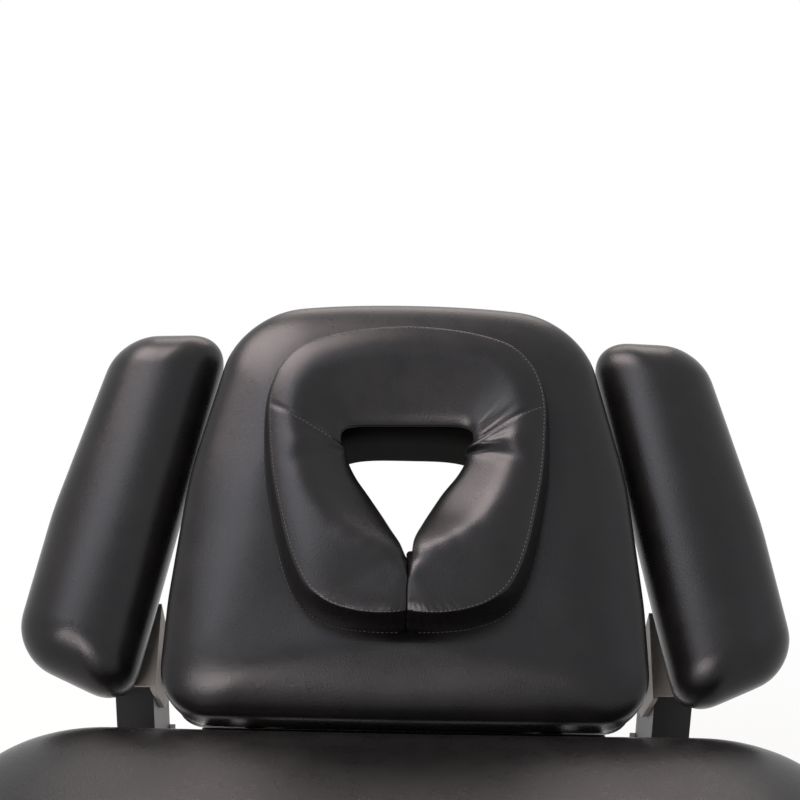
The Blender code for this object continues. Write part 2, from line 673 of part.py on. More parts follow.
def hole_point(angle, outset):
    """A place on the face hole: round and narrow towards the hinge, wide and nearly straight at the top."""
    middle = HEAD_GAP + FACE_HOLE_START + FACE_HOLE_LENGTH / 2
    across, up = math.cos(angle), math.sin(angle)
    power = 0.5 if up > 0 else 1.0
    x = math.copysign(abs(across) ** power, across)
    y = math.copysign(abs(up) ** power, up)
    width = FACE_HOLE_WIDTH / 2 * (1 + 0.22 * y) + outset
    return (x * width, middle + y * (FACE_HOLE_LENGTH / 2 + outset))


def hole_outline(count, outset=0.0):
    return [hole_point(2 * math.pi * i / count, outset) for i in range(count)]


def hole_facing(rim, outset=0.0):
    """The face hole with one point opposite each point of the rim."""
    middle = HEAD_GAP + FACE_HOLE_START + FACE_HOLE_LENGTH / 2
    stretch = FACE_HOLE_WIDTH / FACE_HOLE_LENGTH
    return [hole_point(math.atan2((y - middle) * stretch, x), outset) for x, y in rim]


def build_head_section(frame):
    rim = head_outline(0.0, 6)
    hole = hole_facing(rim)
    rings = [[(x, y, HEAD_PAD_BASE + z) for x, y in offset_ring(rim, inset)]
             for inset, z in pad_profile(PAD_THICKNESS, PAD_ROLL, PAD_BULGE)]
    inner_rim = hole_facing(rim, PAD_ROLL * 0.6)
    outer_rim = offset_ring(rim, PAD_ROLL)
    for share in (0.3, 0.7):
        ring = [Vector(a).lerp(Vector(b), share) for a, b in zip(outer_rim, inner_rim)]
        rings.append([(p.x, p.y, HEAD_PAD_TOP - 0.002 + PAD_CROWN * 0.8) for p in ring])
    rings.append([(x, y, HEAD_PAD_TOP - 0.002) for x, y in inner_rim])
    rings.append([(x, y, HEAD_PAD_TOP - 0.014) for x, y in hole])
    rings.append([(x, y, HEAD_PAD_BASE) for x, y in hole])
    loft("head_pad", rings, VINYL, frame, closed_tube=True)
    board_low = HEAD_BOARD_TOP - BOARD_THICKNESS
    board = [head_outline(BOARD_INSET, 5, 0.0), hole_outline(28, 0.004)]
    plate("head_board", board, "Z", board_low, HEAD_BOARD_TOP, BOARD, frame)
    build_head_frame(frame)


def build_head_frame(frame):
    low = HEAD_RAIL_TOP - HEAD_RAIL_HEIGHT
    far = HEAD_GAP + HEAD_LENGTH - 0.070
    eye = 0.013
    rail = arc((0, 0), eye, 20, 270, 10) + [(0.018, -eye - 0.004), (0.040, low), (far, low)]
    rail += [(far, HEAD_RAIL_TOP), (HEAD_GAP - 0.004, HEAD_RAIL_TOP)]
    hole = circle((0, 0), HINGE_PIN_RADIUS + RUNNING_GAP, 14)
    for name, side in sides("head_rail"):
        start, end = span_x(side, HINGE_X - HEAD_RAIL_WIDTH / 2, HINGE_X + HEAD_RAIL_WIDTH / 2)
        plate(name, [rail, hole], "X", start, end, STEEL, frame)
    inside = HINGE_X - HEAD_RAIL_WIDTH / 2 - SEAT_GAP
    bars = {}
    for name, y in (("low", HEAD_GAP + 0.035), ("high", far - 0.020)):
        bars[name] = box(
            f"head_cross_bar_{name}", (-inside, y - 0.015, low), (inside, y + 0.015, HEAD_RAIL_TOP),
            STEEL, frame, bevel=0.002,
        )
    reach = HINGE_X + HEAD_RAIL_WIDTH / 2 + 0.001 + EAR_THICKNESS + 0.004
    rod("hinge_pin", "X", (0, 0, 0), -reach, reach, HINGE_PIN_RADIUS, BRIGHT, frame, sides=16)
    build_lever(frame, low, bars["low"])


LEVER_SWING = (HEAD_TILT - HEAD_LOWEST) / 2
LEVER_REST = (HEAD_TILT + HEAD_LOWEST) / 2
DRIVE_PIN_RADIUS = 0.006


def lever_point(reach, across):
    """A place on the lever in the flat head frame: reach from the hinge, across towards the head end."""
    down = Vector((-math.sin(LEVER_REST), -math.cos(LEVER_REST)))
    side = Vector((math.cos(LEVER_REST), -math.sin(LEVER_REST)))
    return tuple(down * reach + side * across)


def build_lever(frame, low, bar):
    slot_near = LEVER_REACH - 0.003
    slot_far = LEVER_REACH / math.cos(LEVER_SWING) + 0.003
    half = DRIVE_PIN_RADIUS + SLOT_CLEARANCE
    near, far = slot_near - half, slot_far + half
    slot = [lever_point(r, a) for r, a in ((near, -half), (near, half), (far, half), (far, -half))]
    tip = slot_far + half + 0.010
    outline = [(HEAD_GAP + 0.024, low + 0.012), lever_point(0.060, -0.004), lever_point(0.105, -half - 0.011)]
    outline += [lever_point(tip, -half - 0.011), lever_point(tip, half + 0.011)]
    outline += [lever_point(0.112, half + 0.016), (HEAD_GAP + 0.046, low + 0.012)]
    levers = []
    for name, side in sides("head_lever"):
        start, end = span_x(side, LEVER_HALF_GAP, LEVER_HALF_GAP + LEVER_THICKNESS)
        levers.append(plate(name, [outline, slot], "X", start, end, STEEL, frame, to_mesh=True))
    weld(bar, levers)


HEAD_DRIVE_Z = HINGE_Z - LEVER_REACH
HEAD_DRIVE_PIN_Y = HINGE_Y + LEVER_REACH * math.tan(LEVER_SWING)
HEAD_TUBE_FRONT = HINGE_Y - LEVER_REACH * math.tan(LEVER_SWING) - ROD_EYE_LENGTH - 0.004
HEAD_ACTUATOR_LENGTH = 0.260
HEAD_ROD_LENGTH = 0.285


def build_head_actuator():
    axis = (0.0, HEAD_DRIVE_Z)
    back = HEAD_TUBE_FRONT - HEAD_ACTUATOR_LENGTH
    tube = [circle(axis, ACTUATOR_RADIUS, 24), circle(axis, ACTUATOR_ROD_RADIUS + RUNNING_GAP, 16)]
    plate("head_actuator_tube", tube, "Y", back, HEAD_TUBE_FRONT, BRIGHT)
    motor_unit(
        "head_motor", (-0.030, back - 0.070, HEAD_DRIVE_Z - 0.026),
        (0.030, back - SEAT_GAP, HEAD_DRIVE_Z + 0.026),
        "X", (0, back - 0.035, HEAD_DRIVE_Z), (0.020, 0.115), 0.025,
    )
    box(
        "actuator_hanger", (-0.015, back + 0.020, HEAD_DRIVE_Z + ACTUATOR_RADIUS + SEAT_GAP),
        (0.015, back + 0.080, BOARD_Z - SEAT_GAP), STEEL, bevel=0.002,
    )
    frame = joint_frame("head_rod_joint", (0, HEAD_DRIVE_PIN_Y, HEAD_DRIVE_Z))
    reach = LEVER_HALF_GAP + LEVER_THICKNESS + 0.004
    rod("head_drive_pin", "X", (0, 0, 0), -reach, reach, DRIVE_PIN_RADIUS, BRIGHT, frame, sides=16)
    eye = [circle((0, 0), 0.014, 18), circle((0, 0), DRIVE_PIN_RADIUS + SEAT_GAP, 14)]
    ring = plate("head_rod_eye", eye, "X", -0.011, 0.011, BRIGHT, frame, to_mesh=True)
    made = rod(
        "head_actuator_rod", "Y", (0, 0, 0), -HEAD_ROD_LENGTH, -0.010, ACTUATOR_ROD_RADIUS, BRIGHT, frame,
    )
    weld(made, [ring])


# Face cushion
def build_face_cushion(frame):
    base = HEAD_PAD_TOP - 0.002 + PAD_CROWN * 0.8 + SEAT_GAP
    frame_at = joint_frame("face_cushion_joint", (0, 0, 0), frame)
    rings = cushion_rings(base)
    loft("face_cushion", rings, VINYL, frame_at)


def cushion_rings(base):
    """Cross-sections along the horseshoe, from the left lobe's tip over the forehead to the right one's."""
    outer_half = CUSHION_WIDTH / 2
    top_y = HEAD_GAP + CUSHION_START + CUSHION_LENGTH
    low_y = HEAD_GAP + CUSHION_START
    stations = 25
    rings = []
    for i in range(stations):
        angle = math.pi * (-1 + 2 * i / (stations - 1))
        outside = cushion_edge(angle, outer_half, low_y, top_y)
        inside = cushion_inner_edge(angle, low_y, top_y)
        rings.append(cushion_section(outside, inside, base, low_y, top_y))
    return rings


def cushion_edge(angle, half, low_y, top_y):
    """The outer outline: an egg whose wide end is the forehead. Angle 0 is the forehead, +-pi the chin."""
    middle = low_y + (top_y - low_y) * 0.52
    reach = (top_y - middle) if abs(angle) < math.pi / 2 else (middle - low_y)
    power = 0.80
    s, c = math.sin(angle), math.cos(angle)
    x = half * math.copysign(abs(s) ** power, s) * (1 + 0.03 * c)
    y = middle + reach * math.copysign(abs(c) ** power, c)
    if abs(angle) > math.pi - 0.02:
        x = math.copysign(CUSHION_SLIT / 2, angle)
    return Vector((x, y))


def cushion_inner_edge(angle, low_y, top_y):
    """The face opening: a rounded triangle, wide below the forehead and pinched shut at the chin."""
    forehead_y = top_y - CUSHION_BAND
    chin_y = low_y + 0.036
    share = abs(angle) / math.pi
    if share < 0.30:
        x = 0.063 * share / 0.30
        y = forehead_y - 0.010 * (share / 0.30) ** 2
    else:
        fall = (share - 0.30) / 0.70
        x = 0.063 * (1 - fall) ** 1.5 + CUSHION_SLIT / 2
        y = forehead_y - 0.010 + (chin_y - forehead_y + 0.010) * fall
    return Vector((math.copysign(x, angle), y))


def cushion_section(outside, inside, base, low_y, top_y):
    """A domed section from the outer edge to the inner edge, thin at the forehead and thick at the chin."""
    share = (top_y - (outside.y + inside.y) / 2) / (top_y - low_y)
    height = CUSHION_THIN + (CUSHION_THICK - CUSHION_THIN) * min(1.0, max(0.0, share))
    across = inside - outside
    profile = (
        (0.04, 0.0), (0.0, 0.35), (0.04, 0.80), (0.16, 0.97), (0.42, 1.0),
        (0.72, 0.88), (0.93, 0.62), (1.0, 0.35), (0.97, 0.0),
    )
    section = []
    for along, up in profile:
        place = outside + across * along
        section.append((place.x, place.y, base + height * up))
    return section


# Arm rests
def build_arm(side, label):
    front = MAIN_END_Y + POST_FRONT
    x_low, x_high = POST_X - POST_WIDTH / 2, POST_X + POST_WIDTH / 2
    top = PAD_TOP_Z - POST_TOP_BELOW_PAD
    sleeve_top = top - 0.115
    build_sleeve(side, label, front, x_low, x_high, sleeve_top)
    post_frame = joint_frame(f"arm_post_joint_{label}", (0, 0, 0))
    low, high = span_x(side, x_low, x_high)
    outer = rectangle((low, front), (high, front + POST_DEPTH))
    low_corner = (outer[0][0] + POST_WALL, front + POST_WALL)
    high_corner = (outer[2][0] - POST_WALL, front + POST_DEPTH - POST_WALL)
    tube = [outer, rectangle(low_corner, high_corner)]
    plate(f"arm_post_{label}", tube, "Z", top - POST_LENGTH, top, STEEL, post_frame)
    build_arm_rest(side, label, post_frame, x_low)


def build_sleeve(side, label, front, x_low, x_high, top):
    margin = RUNNING_GAP + SLEEVE_WALL
    inner_x = span_x(side, x_low - RUNNING_GAP, x_high + RUNNING_GAP)
    outer_x = span_x(side, x_low - margin, x_high + margin)
    hole = rectangle((inner_x[0], front - RUNNING_GAP), (inner_x[1], front + POST_DEPTH + RUNNING_GAP))
    shell = rectangle((outer_x[0], front - margin), (outer_x[1], front + POST_DEPTH + margin))
    sleeve = plate(f"post_sleeve_{label}", [shell, hole], "Z", top - SLEEVE_HEIGHT, top, STEEL, to_mesh=True)
    bar_x = span_x(side, x_low, x_high - 0.010)
    bar_back = HEAD_TUBE_Y + CROSS_TUBE / 2 + SEAT_GAP
    tube_low = HEAD_TUBE_TOP - CROSS_TUBE
    bar = box(
        f"arm_outrigger_{label}", (bar_x[0], bar_back, tube_low),
        (bar_x[1], front - margin + SLEEVE_WALL / 2, top - 0.006), STEEL,
    )
    weld(sleeve, [bar])


def build_arm_rest(side, label, post_frame, post_inner):
    tilt = joint_frame(f"arm_tilt_joint_{label}", (0, ARM_PIVOT_Y, ARM_PIVOT_Z), post_frame, HEAD_TILT)
    under = ARM_BOARD_ABOVE_PIVOT
    x_out = post_inner - SEAT_GAP
    x_in = x_out - BRACKET_THICKNESS
    half, forward = BRACKET_WIDTH / 2, 0.008
    fin = [(forward - half, under - SEAT_GAP - 0.001), (forward - half, -0.012)]
    fin += arc((forward - half + 0.030, -0.012), 0.030, 180, 300, 6)
    fin += [(forward + half - 0.020, -0.016), (forward + half, under - SEAT_GAP - 0.001)]
    hole = circle((0, 0), HINGE_PIN_RADIUS + RUNNING_GAP, 14)
    low, high = span_x(side, x_in, x_out)
    bracket = plate(f"arm_bracket_{label}", [fin, hole], "X", low, high, STEEL, tilt, to_mesh=True)
    low, high = span_x(side, x_in + 0.001, x_out + BRACKET_FLANGE)
    flange = box(
        f"arm_bracket_flange_{label}", (low, forward + 0.003 - half, under - SEAT_GAP - BRACKET_THICKNESS),
        (high, forward + half - 0.003, under - SEAT_GAP), STEEL, tilt,
    )
    weld(bracket, [flange])
    bolt_frame = joint_frame(f"arm_bolt_joint_{label}", (0, ARM_PIVOT_Y, ARM_PIVOT_Z), post_frame)
    steps = [(x_in - 0.012, x_in - SEAT_GAP, KNOB_RADIUS), (x_in - SEAT_GAP, x_out, HINGE_PIN_RADIUS)]
    if side < 0:
        steps = [(-end, -start, radius) for start, end, radius in reversed(steps)]
    stepped_rod(f"arm_clamp_bolt_{label}", "X", (0, 0, 0), steps, PLASTIC, bolt_frame)
    build_arm_pad(side, label, tilt, under)


def build_arm_pad(side, label, tilt, under):
    turn = Matrix.Rotation(side * ARM_TOE_IN, 2)

    half, low, high = ARM_WIDTH / 2, -ARM_LOW_END, ARM_LENGTH - ARM_LOW_END
    corners = [
        ((-half - 0.002, low), ARM_INNER_CORNER), ((half - 0.004, low + ARM_LOW_RISE), ARM_OUTER_CORNER),
        ((half + 0.002, low + 0.44 * ARM_LENGTH), ARM_SIDE_CURVE),
        ((half - 0.007, high - ARM_TOP_FALL), ARM_OUTER_CORNER), ((-half + 0.0075, high), ARM_INNER_CORNER),
    ]
    if side < 0:
        corners = [((-x, y), radius) for (x, y), radius in reversed(corners)]

    def outline(inset, points):
        found = []
        for place in offset_ring(rounded_outline(corners, points), inset):
            turned = turn @ Vector(place)
            found.append((side * ARM_CENTRE_X + turned.x, turned.y))
        return found

    board_top = under + ARM_BOARD_THICKNESS
    plate(f"arm_board_{label}", [outline(ARM_BOARD_INSET, 6)], "Z", under, board_top, BOARD, tilt)
    crowned_pad(
        f"arm_pad_{label}", outline(0.0, 7), board_top + PAD_GAP, ARM_PAD_THICKNESS, tilt,
        roll=0.030, inner=(0.35, 0.7),
    )


build_base()
build_electrics()
build_pedals()
build_lift()
build_top_frame()
build_main_section()
head_frame = joint_frame("head_joint", (0, HINGE_Y, HINGE_Z), None, HEAD_TILT)
build_head_section(head_frame)
build_head_actuator()
build_face_cushion(head_frame)
for arm_label, arm_side in (("left", -1), ("right", 1)):
    build_arm(arm_side, arm_label)
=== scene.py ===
# %% [markdown]
# # An electric massage table, dressed
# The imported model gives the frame: every rail, link, pin and board in its real place, in metres.
# This lesson dresses it. First come the camera and the light, because every later choice is judged
# through them. Then the upholstery, which is most of what one sees, then the metal and plastic finishes
# and the small hardware that a table needs.

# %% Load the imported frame
import json
import math

import bmesh
import bpy
import numpy as np
from mathutils import Matrix, Vector
from mathutils.bvhtree import BVHTree


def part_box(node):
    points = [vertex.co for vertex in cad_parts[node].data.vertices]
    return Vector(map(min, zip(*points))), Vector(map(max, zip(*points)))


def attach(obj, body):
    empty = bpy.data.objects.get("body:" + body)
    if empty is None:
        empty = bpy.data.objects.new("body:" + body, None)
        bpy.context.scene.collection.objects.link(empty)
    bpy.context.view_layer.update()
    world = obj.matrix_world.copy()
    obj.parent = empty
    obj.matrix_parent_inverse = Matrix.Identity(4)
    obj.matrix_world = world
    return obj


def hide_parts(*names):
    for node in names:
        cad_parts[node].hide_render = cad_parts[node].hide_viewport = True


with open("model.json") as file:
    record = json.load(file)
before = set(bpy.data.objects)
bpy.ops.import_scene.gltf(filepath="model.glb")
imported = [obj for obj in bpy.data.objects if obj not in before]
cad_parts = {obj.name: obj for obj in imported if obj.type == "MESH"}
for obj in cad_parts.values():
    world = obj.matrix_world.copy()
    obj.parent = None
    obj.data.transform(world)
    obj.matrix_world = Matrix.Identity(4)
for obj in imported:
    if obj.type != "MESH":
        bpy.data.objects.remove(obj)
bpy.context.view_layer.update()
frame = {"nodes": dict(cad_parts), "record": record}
NODES = frame["nodes"]
SCENE = bpy.context.scene

# %% [markdown]
# ## The camera
# The picture was taken from over the foot end, about 0.8 m above the padding, looking down the table at
# the raised head section. A long lens keeps the arm rests from spreading. The place is given from the
# main pad's head edge and top, so it follows the table if the table changes.

# %% Camera
MAIN_LOW, MAIN_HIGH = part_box("main_pad")
PAD_END_Y = MAIN_HIGH.y
PAD_HEIGHT = 0.075
CAMERA_SIDE = -0.0099
CAMERA_BACK = 1.3335
CAMERA_ABOVE = 0.824
CAMERA_DOWN = math.radians(20.4)
CAMERA_ROLL = math.radians(1.074)

camera_data = bpy.data.cameras.new("camera")
camera_data.lens = 72.0
camera_data.sensor_width = 36.0
camera_data.sensor_fit = "HORIZONTAL"
camera = bpy.data.objects.new("camera", camera_data)
look = Matrix.Rotation(math.pi / 2 - CAMERA_DOWN, 4, "X") @ Matrix.Rotation(CAMERA_ROLL, 4, "Z")
camera_at = (CAMERA_SIDE, PAD_END_Y - CAMERA_BACK, MAIN_LOW.z + PAD_HEIGHT + CAMERA_ABOVE)
camera.matrix_world = Matrix.Translation(camera_at) @ look
SCENE.collection.objects.link(camera)
SCENE.camera = camera
SCENE.view_settings.view_transform = "Standard"
print("camera at", [round(v, 4) for v in camera.matrix_world.translation])

# %% [markdown]
# ## Writing shaders as sums
# A material is a small graph. Wiring every node by hand is long and hard to read, so one class wraps
# a socket: adding or multiplying two of them makes the Math node that does it. Every other node comes
# from one method that sets the node's choices first and then its sockets. Place, noise and bump, which
# nearly every finish here needs, are short names for three of them.

# %% Shader sums
class Wire:
    def __init__(self, tree, socket=None):
        self.tree = tree
        self.socket = socket

    def node(self, kind, choices=None, sockets=None, out=0):
        made = self.tree.nodes.new(kind)
        for name, value in (choices or {}).items():
            setattr(made, name, value)
        for name, value in (sockets or {}).items():
            self.feed(value, made.inputs[name])
        return Wire(self.tree, made.outputs[out])

    def feed(self, value, socket):
        if isinstance(value, Wire):
            self.tree.links.new(value.socket, socket)
        else:
            socket.default_value = value

    def sum(self, operation, first, second):
        return self.node("ShaderNodeMath", {"operation": operation}, {0: first, 1: second})

    def __add__(self, other):
        return self.sum("ADD", self, other)

    def __radd__(self, other):
        return self.sum("ADD", other, self)

    def __sub__(self, other):
        return self.sum("SUBTRACT", self, other)

    def __rsub__(self, other):
        return self.sum("SUBTRACT", other, self)

    def __mul__(self, other):
        return self.sum("MULTIPLY", self, other)

    def __rmul__(self, other):
        return self.sum("MULTIPLY", other, self)

    def between(self, low, high):
        choices = {"interpolation_type": "SMOOTHSTEP", "clamp": True}
        return self.node("ShaderNodeMapRange", choices, {"Value": self, "From Min": low, "From Max": high})

    def tint(self, dark, light):
        sockets = {0: self, 6: (*dark, 1.0), 7: (*light, 1.0)}
        return self.node("ShaderNodeMix", {"data_type": "RGBA"}, sockets, out=2)

    def place(self):
        return self.node("ShaderNodeTexCoord", out="Object")

    def noise(self, scale, detail):
        return self.node("ShaderNodeTexNoise", None, {"Vector": self, "Scale": scale, "Detail": detail})

    def bump(self, strength):
        return self.node("ShaderNodeBump", None, {"Strength": strength, "Distance": 1.0, "Height": self})


print("shader sums ready")

# %% [markdown]
# ## Studio light and a white background
# The table stands in a bright white studio. The world looks white to the camera and in reflections, but it
# lights the table gently, so black stays black. Light Path tells the two kinds of ray apart.

# %% World
SKY_LIGHT = {"Color": (0.96, 0.98, 1.0, 1.0), "Strength": 0.22}
PLAIN_WHITE = {"Color": (1.0, 1.0, 1.0, 1.0), "Strength": 1.0}
world = bpy.data.worlds.new("studio")
SCENE.world = world
world.use_nodes = True
sky = Wire(world.node_tree)
for old in list(world.node_tree.nodes):
    world.node_tree.nodes.remove(old)


def background_rays(wire):
    """One for rays that should see the white background: straight, mirrored or through glass."""
    camera_ray = wire.node("ShaderNodeLightPath", out="Is Camera Ray")
    glossy_ray = wire.node("ShaderNodeLightPath", out="Is Glossy Ray")
    glass_ray = wire.node("ShaderNodeLightPath", out="Is Transmission Ray")
    return wire.sum("MAXIMUM", wire.sum("MAXIMUM", camera_ray, glossy_ray), glass_ray)


soft = sky.node("ShaderNodeBackground", None, SKY_LIGHT)
white = sky.node("ShaderNodeBackground", None, PLAIN_WHITE)
mixed = sky.node("ShaderNodeMixShader", None, {0: background_rays(sky), 1: soft, 2: white})
world_end = world.node_tree.nodes.new("ShaderNodeOutputWorld")
sky.feed(mixed, world_end.inputs["Surface"])
print("world nodes", len(world.node_tree.nodes))

# %% [markdown]
# ### Floor
# A studio floor runs on behind the table without an edge, so a wide disc makes it. Its pale paint takes a
# soft shadow near the table, and a glow that grows with the distance turns it into plain white further out.

# %% Floor
FLOOR_RADIUS = 40.0
FADE_START = 0.5
FADE_END = 2.4
GLOW_NEAR = 0.55
GLOW_FAR = 0.45


def new_finish(name):
    """A material, a wire to build it with, and its shader."""
    material = bpy.data.materials.new(name)
    material.use_nodes = True
    return material, Wire(material.node_tree), material.node_tree.nodes["Principled BSDF"]


def new_piece(name, bm, material, body):
    """Turns a finished bmesh into a piece that rides on a body of the table."""
    mesh = bpy.data.meshes.new(name)
    bm.to_mesh(mesh)
    bm.free()
    mesh.polygons.foreach_set("use_smooth", [True] * len(mesh.polygons))
    mesh.materials.append(material)
    piece = bpy.data.objects.new(name, mesh)
    SCENE.collection.objects.link(piece)
    if body:
        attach(piece, body)
    return piece


floor_finish, wire, shader = new_finish("pale_floor")
shader.inputs["Base Color"].default_value = (0.82, 0.82, 0.82, 1.0)
shader.inputs["Roughness"].default_value = 0.9
away = wire.node("ShaderNodeVectorMath", {"operation": "LENGTH"}, {0: wire.place()}, out="Value")
glow = wire.node("ShaderNodeEmission", None, PLAIN_WHITE)
lit = Wire(wire.tree, shader.outputs[0])
share = background_rays(wire) * (GLOW_NEAR + GLOW_FAR * away.between(FADE_START, FADE_END))
whole = wire.node("ShaderNodeMixShader", None, {0: share, 1: lit, 2: glow})
wire.feed(whole, wire.tree.nodes["Material Output"].inputs["Surface"])

bm = bmesh.new()
bmesh.ops.create_circle(bm, cap_ends=True, radius=FLOOR_RADIUS, segments=64)
floor = new_piece("floor", bm, floor_finish, None)
print("floor nodes", len(wire.tree.nodes))

# %% [markdown]
# ### Lamps
# On black vinyl the lamps show as highlights, so their size and place make the picture. Area lamps stand
# in for soft panels: the main one high above the head end on the left, one at the front left, a weak one
# over the table, a very weak one on the right and one behind.

# %% Lamps
LAMPS = (
    # name, place, aim, width, height, power, colour
    ("key_above", (-0.95, 1.10, 2.75), (0.0, 0.7, 0.75), 1.1, 1.3, 56.0, (1.0, 0.86, 0.80)),
    ("front_left", (-1.15, -1.85, 2.0), (0.0, 0.6, 0.7), 1.5, 0.8, 58.0, (1.0, 0.89, 0.82)),
    ("ceiling_left", (-1.0, -0.1, 2.9), (0.0, 0.6, 0.75), 1.2, 1.4, 17.0, (0.93, 0.95, 1.0)),
    ("fill_right", (2.3, -0.3, 2.2), (0.0, 0.5, 0.75), 1.4, 1.4, 2.0, (0.94, 0.97, 1.0)),
    ("behind", (0.08, 2.5, 2.3), (0.0, 0.5, 0.7), 1.7, 1.0, 19.0, (1.0, 0.87, 0.80)),
)
for name, at, aim, wide, high, power, colour in LAMPS:
    lamp_data = bpy.data.lights.new(name, "AREA")
    lamp_data.shape = "RECTANGLE"
    lamp_data.size = wide
    lamp_data.size_y = high
    lamp_data.energy = power
    lamp_data.color = colour
    lamp = bpy.data.objects.new(name, lamp_data)
    lamp.location = at
    lamp.rotation_euler = (Vector(aim) - Vector(at)).to_track_quat("-Z", "Y").to_euler()
    SCENE.collection.objects.link(lamp)
print("lamps", len(LAMPS))

# %% [markdown]
# ## Black upholstery vinyl
# The covers are black coated fabric with a fine pebble grain. Up close the grain is a mesh of cells
# about a millimetre across with softer, longer folds; from afar it only makes the highlight broad. So
# the colour hardly varies, and the look comes from roughness and two bumps: cells, and slow waviness.

# %% Vinyl finish
def paint(wire, shader, colour, roughness, normal):
    """Feeds what varies over a surface to the three sockets that take it."""
    wire.feed(colour, shader.inputs["Base Color"])
    wire.feed(roughness, shader.inputs["Roughness"])
    wire.feed(normal, shader.inputs["Normal"])


def vinyl(name, dark, light, roughness):
    material, wire, shader = new_finish(name)
    place = wire.place()
    cells = wire.node("ShaderNodeTexVoronoi", None, {"Vector": place, "Scale": 780.0})
    waves = place.noise(7.0, 1.0)
    wear = place.noise(38.0, 2.0)
    grain = (cells * 0.00012 + waves * 0.0016).bump(0.9)
    tone = (wear * 0.5 + waves * 0.5).between(0.3, 0.7)
    paint(wire, shader, tone.tint(dark, light), roughness + 0.10 * (wear - 0.5), grain)
    shader.inputs["Specular IOR Level"].default_value = 0.29
    # The cool specular tint is a painted reflection: it gives the white background's reflections in the
    # vinyl a ceiling's blue cast.
    shader.inputs["Specular Tint"].default_value = (0.92, 0.92, 1.0, 1.0)
    return material


BLACK_VINYL = vinyl("black_vinyl_cover", (0.0045, 0.0043, 0.0043), (0.0075, 0.0071, 0.0070), 0.28)
print("vinyl", BLACK_VINYL.name)

# %% [markdown]
# ## Outlines and skins
# A pad starts as its outline on the board. A face with a few corners is drawn, each corner is rounded
# with a vertex bevel, and the border is divided evenly. A skin is then pulled from that border: the edge
# loop is extruded ring by ring, and each new ring is set where the padding would be at that height.

# %% Outline helpers
CORNER_STEPS = 14


def running_length(points):
    """How far each point lies along a path."""
    return np.concatenate([[0.0], np.cumsum(np.linalg.norm(np.diff(points, axis=0), axis=1))])


def evenly(points, count):
    """The closed border again, as a number of points at equal steps."""
    closed = np.array([tuple(p)[:2] for p in points] + [tuple(points[0])[:2]])
    run = running_length(closed)
    marks = np.linspace(0.0, run[-1], count, endpoint=False)
    return [Vector((np.interp(m, run, closed[:, 0]), np.interp(m, run, closed[:, 1]))) for m in marks]


def rounded_outline(corners, radii, count):
    bm = bmesh.new()
    verts = [bm.verts.new((x, y, 0.0)) for x, y in corners]
    bm.faces.new(verts)
    for i, vert in enumerate(verts):
        back = Vector(corners[i - 1]) - Vector(corners[i])
        ahead = Vector(corners[(i + 1) % len(corners)]) - Vector(corners[i])
        slide = radii[i] / math.tan(back.angle(ahead) / 2)
        bmesh.ops.bevel(
            bm, geom=[vert], offset=slide, offset_type="OFFSET", affect="VERTICES",
            segments=CORNER_STEPS, profile=0.5, material=-1,
        )
    bm.faces.ensure_lookup_table()
    border = [vert.co.copy() for vert in bm.faces[0].verts]
    bm.free()
    return evenly(border, count)


def skin(rings, tube=False):
    """Pulls an edge loop from ring to ring, then closes it: with two end faces, or round to its start."""
    bm = bmesh.new()
    loop = [bm.verts.new(p) for p in rings[0]]
    edges = [bm.edges.new((loop[i - 1], loop[i])) for i in range(len(loop))]
    first = list(edges)
    for ring in rings[1:]:
        pulled = set(bmesh.ops.extrude_edge_only(bm, edges=edges)["geom"])
        fresh = []
        for vert, target in zip(loop, ring):
            twin = next(e.other_vert(vert) for e in vert.link_edges if e.other_vert(vert) in pulled)
            twin.co = target
            fresh.append(twin)
        loop = fresh
        edges = [bm.edges.get((loop[i - 1], loop[i])) for i in range(len(loop))]
    if tube:
        bmesh.ops.remove_doubles(bm, verts=bm.verts, dist=1e-6)
    else:
        for rim in (first, edges):
            lid = bmesh.ops.contextual_create(bm, geom=rim)["faces"]
            bmesh.ops.triangulate(bm, faces=lid, quad_method="BEAUTY", ngon_method="BEAUTY")
    bmesh.ops.recalc_face_normals(bm, faces=bm.faces)
    return bm


def smooth_by_subdivision(piece, levels):
    subdivision = piece.modifiers.new("subdivision", "SUBSURF")
    subdivision.levels = levels
    subdivision.render_levels = levels


print("outline helpers ready")

# %% [markdown]
# ## The padded sections
# Each section is foam on a board, with the vinyl pulled over both and turned under the board's edge. So
# one skin makes it: from a pocket that holds the board, under its edge as a narrow return strip, up the
# bulging side, over a broad soft roll and across the crown. Rays from the border towards the middle
# (or towards the face hole) say where each ring goes, which keeps the roll even round the corners.

# %% Board pocket
BOARD_GAP = 0.0006
BOARD_THICKNESS = 0.015
BOARD_MIDDLE = 0.008
POCKET_PLAY = 0.0004
RETURN_GAP = 0.0002
RETURN_WIDTH = 0.034
RETURN_THICKNESS = 0.0012
RETURN_BELOW = BOARD_GAP + BOARD_THICKNESS + RETURN_GAP + RETURN_THICKNESS
WRAP = 0.0048
WRAP_FOOT = 0.0038
EDGE_TURN = 0.004
RAY_START = 0.05


def ray_ring(outline, middles, insets, z):
    """One ring, moved in from the border towards the middle by an inset, in metres."""
    rows = zip(outline, middles, insets)
    return [(*(point + (inner - point).normalized() * inset), z) for point, inner, inset in rows]


def share_ring(outline, middles, inset, share, z):
    """One ring, a share of the way from the inset border to the middle."""
    ring = []
    for point, inner in zip(outline, middles):
        start = point + (inner - point).normalized() * inset
        ring.append((*start.lerp(inner, share), z))
    return ring


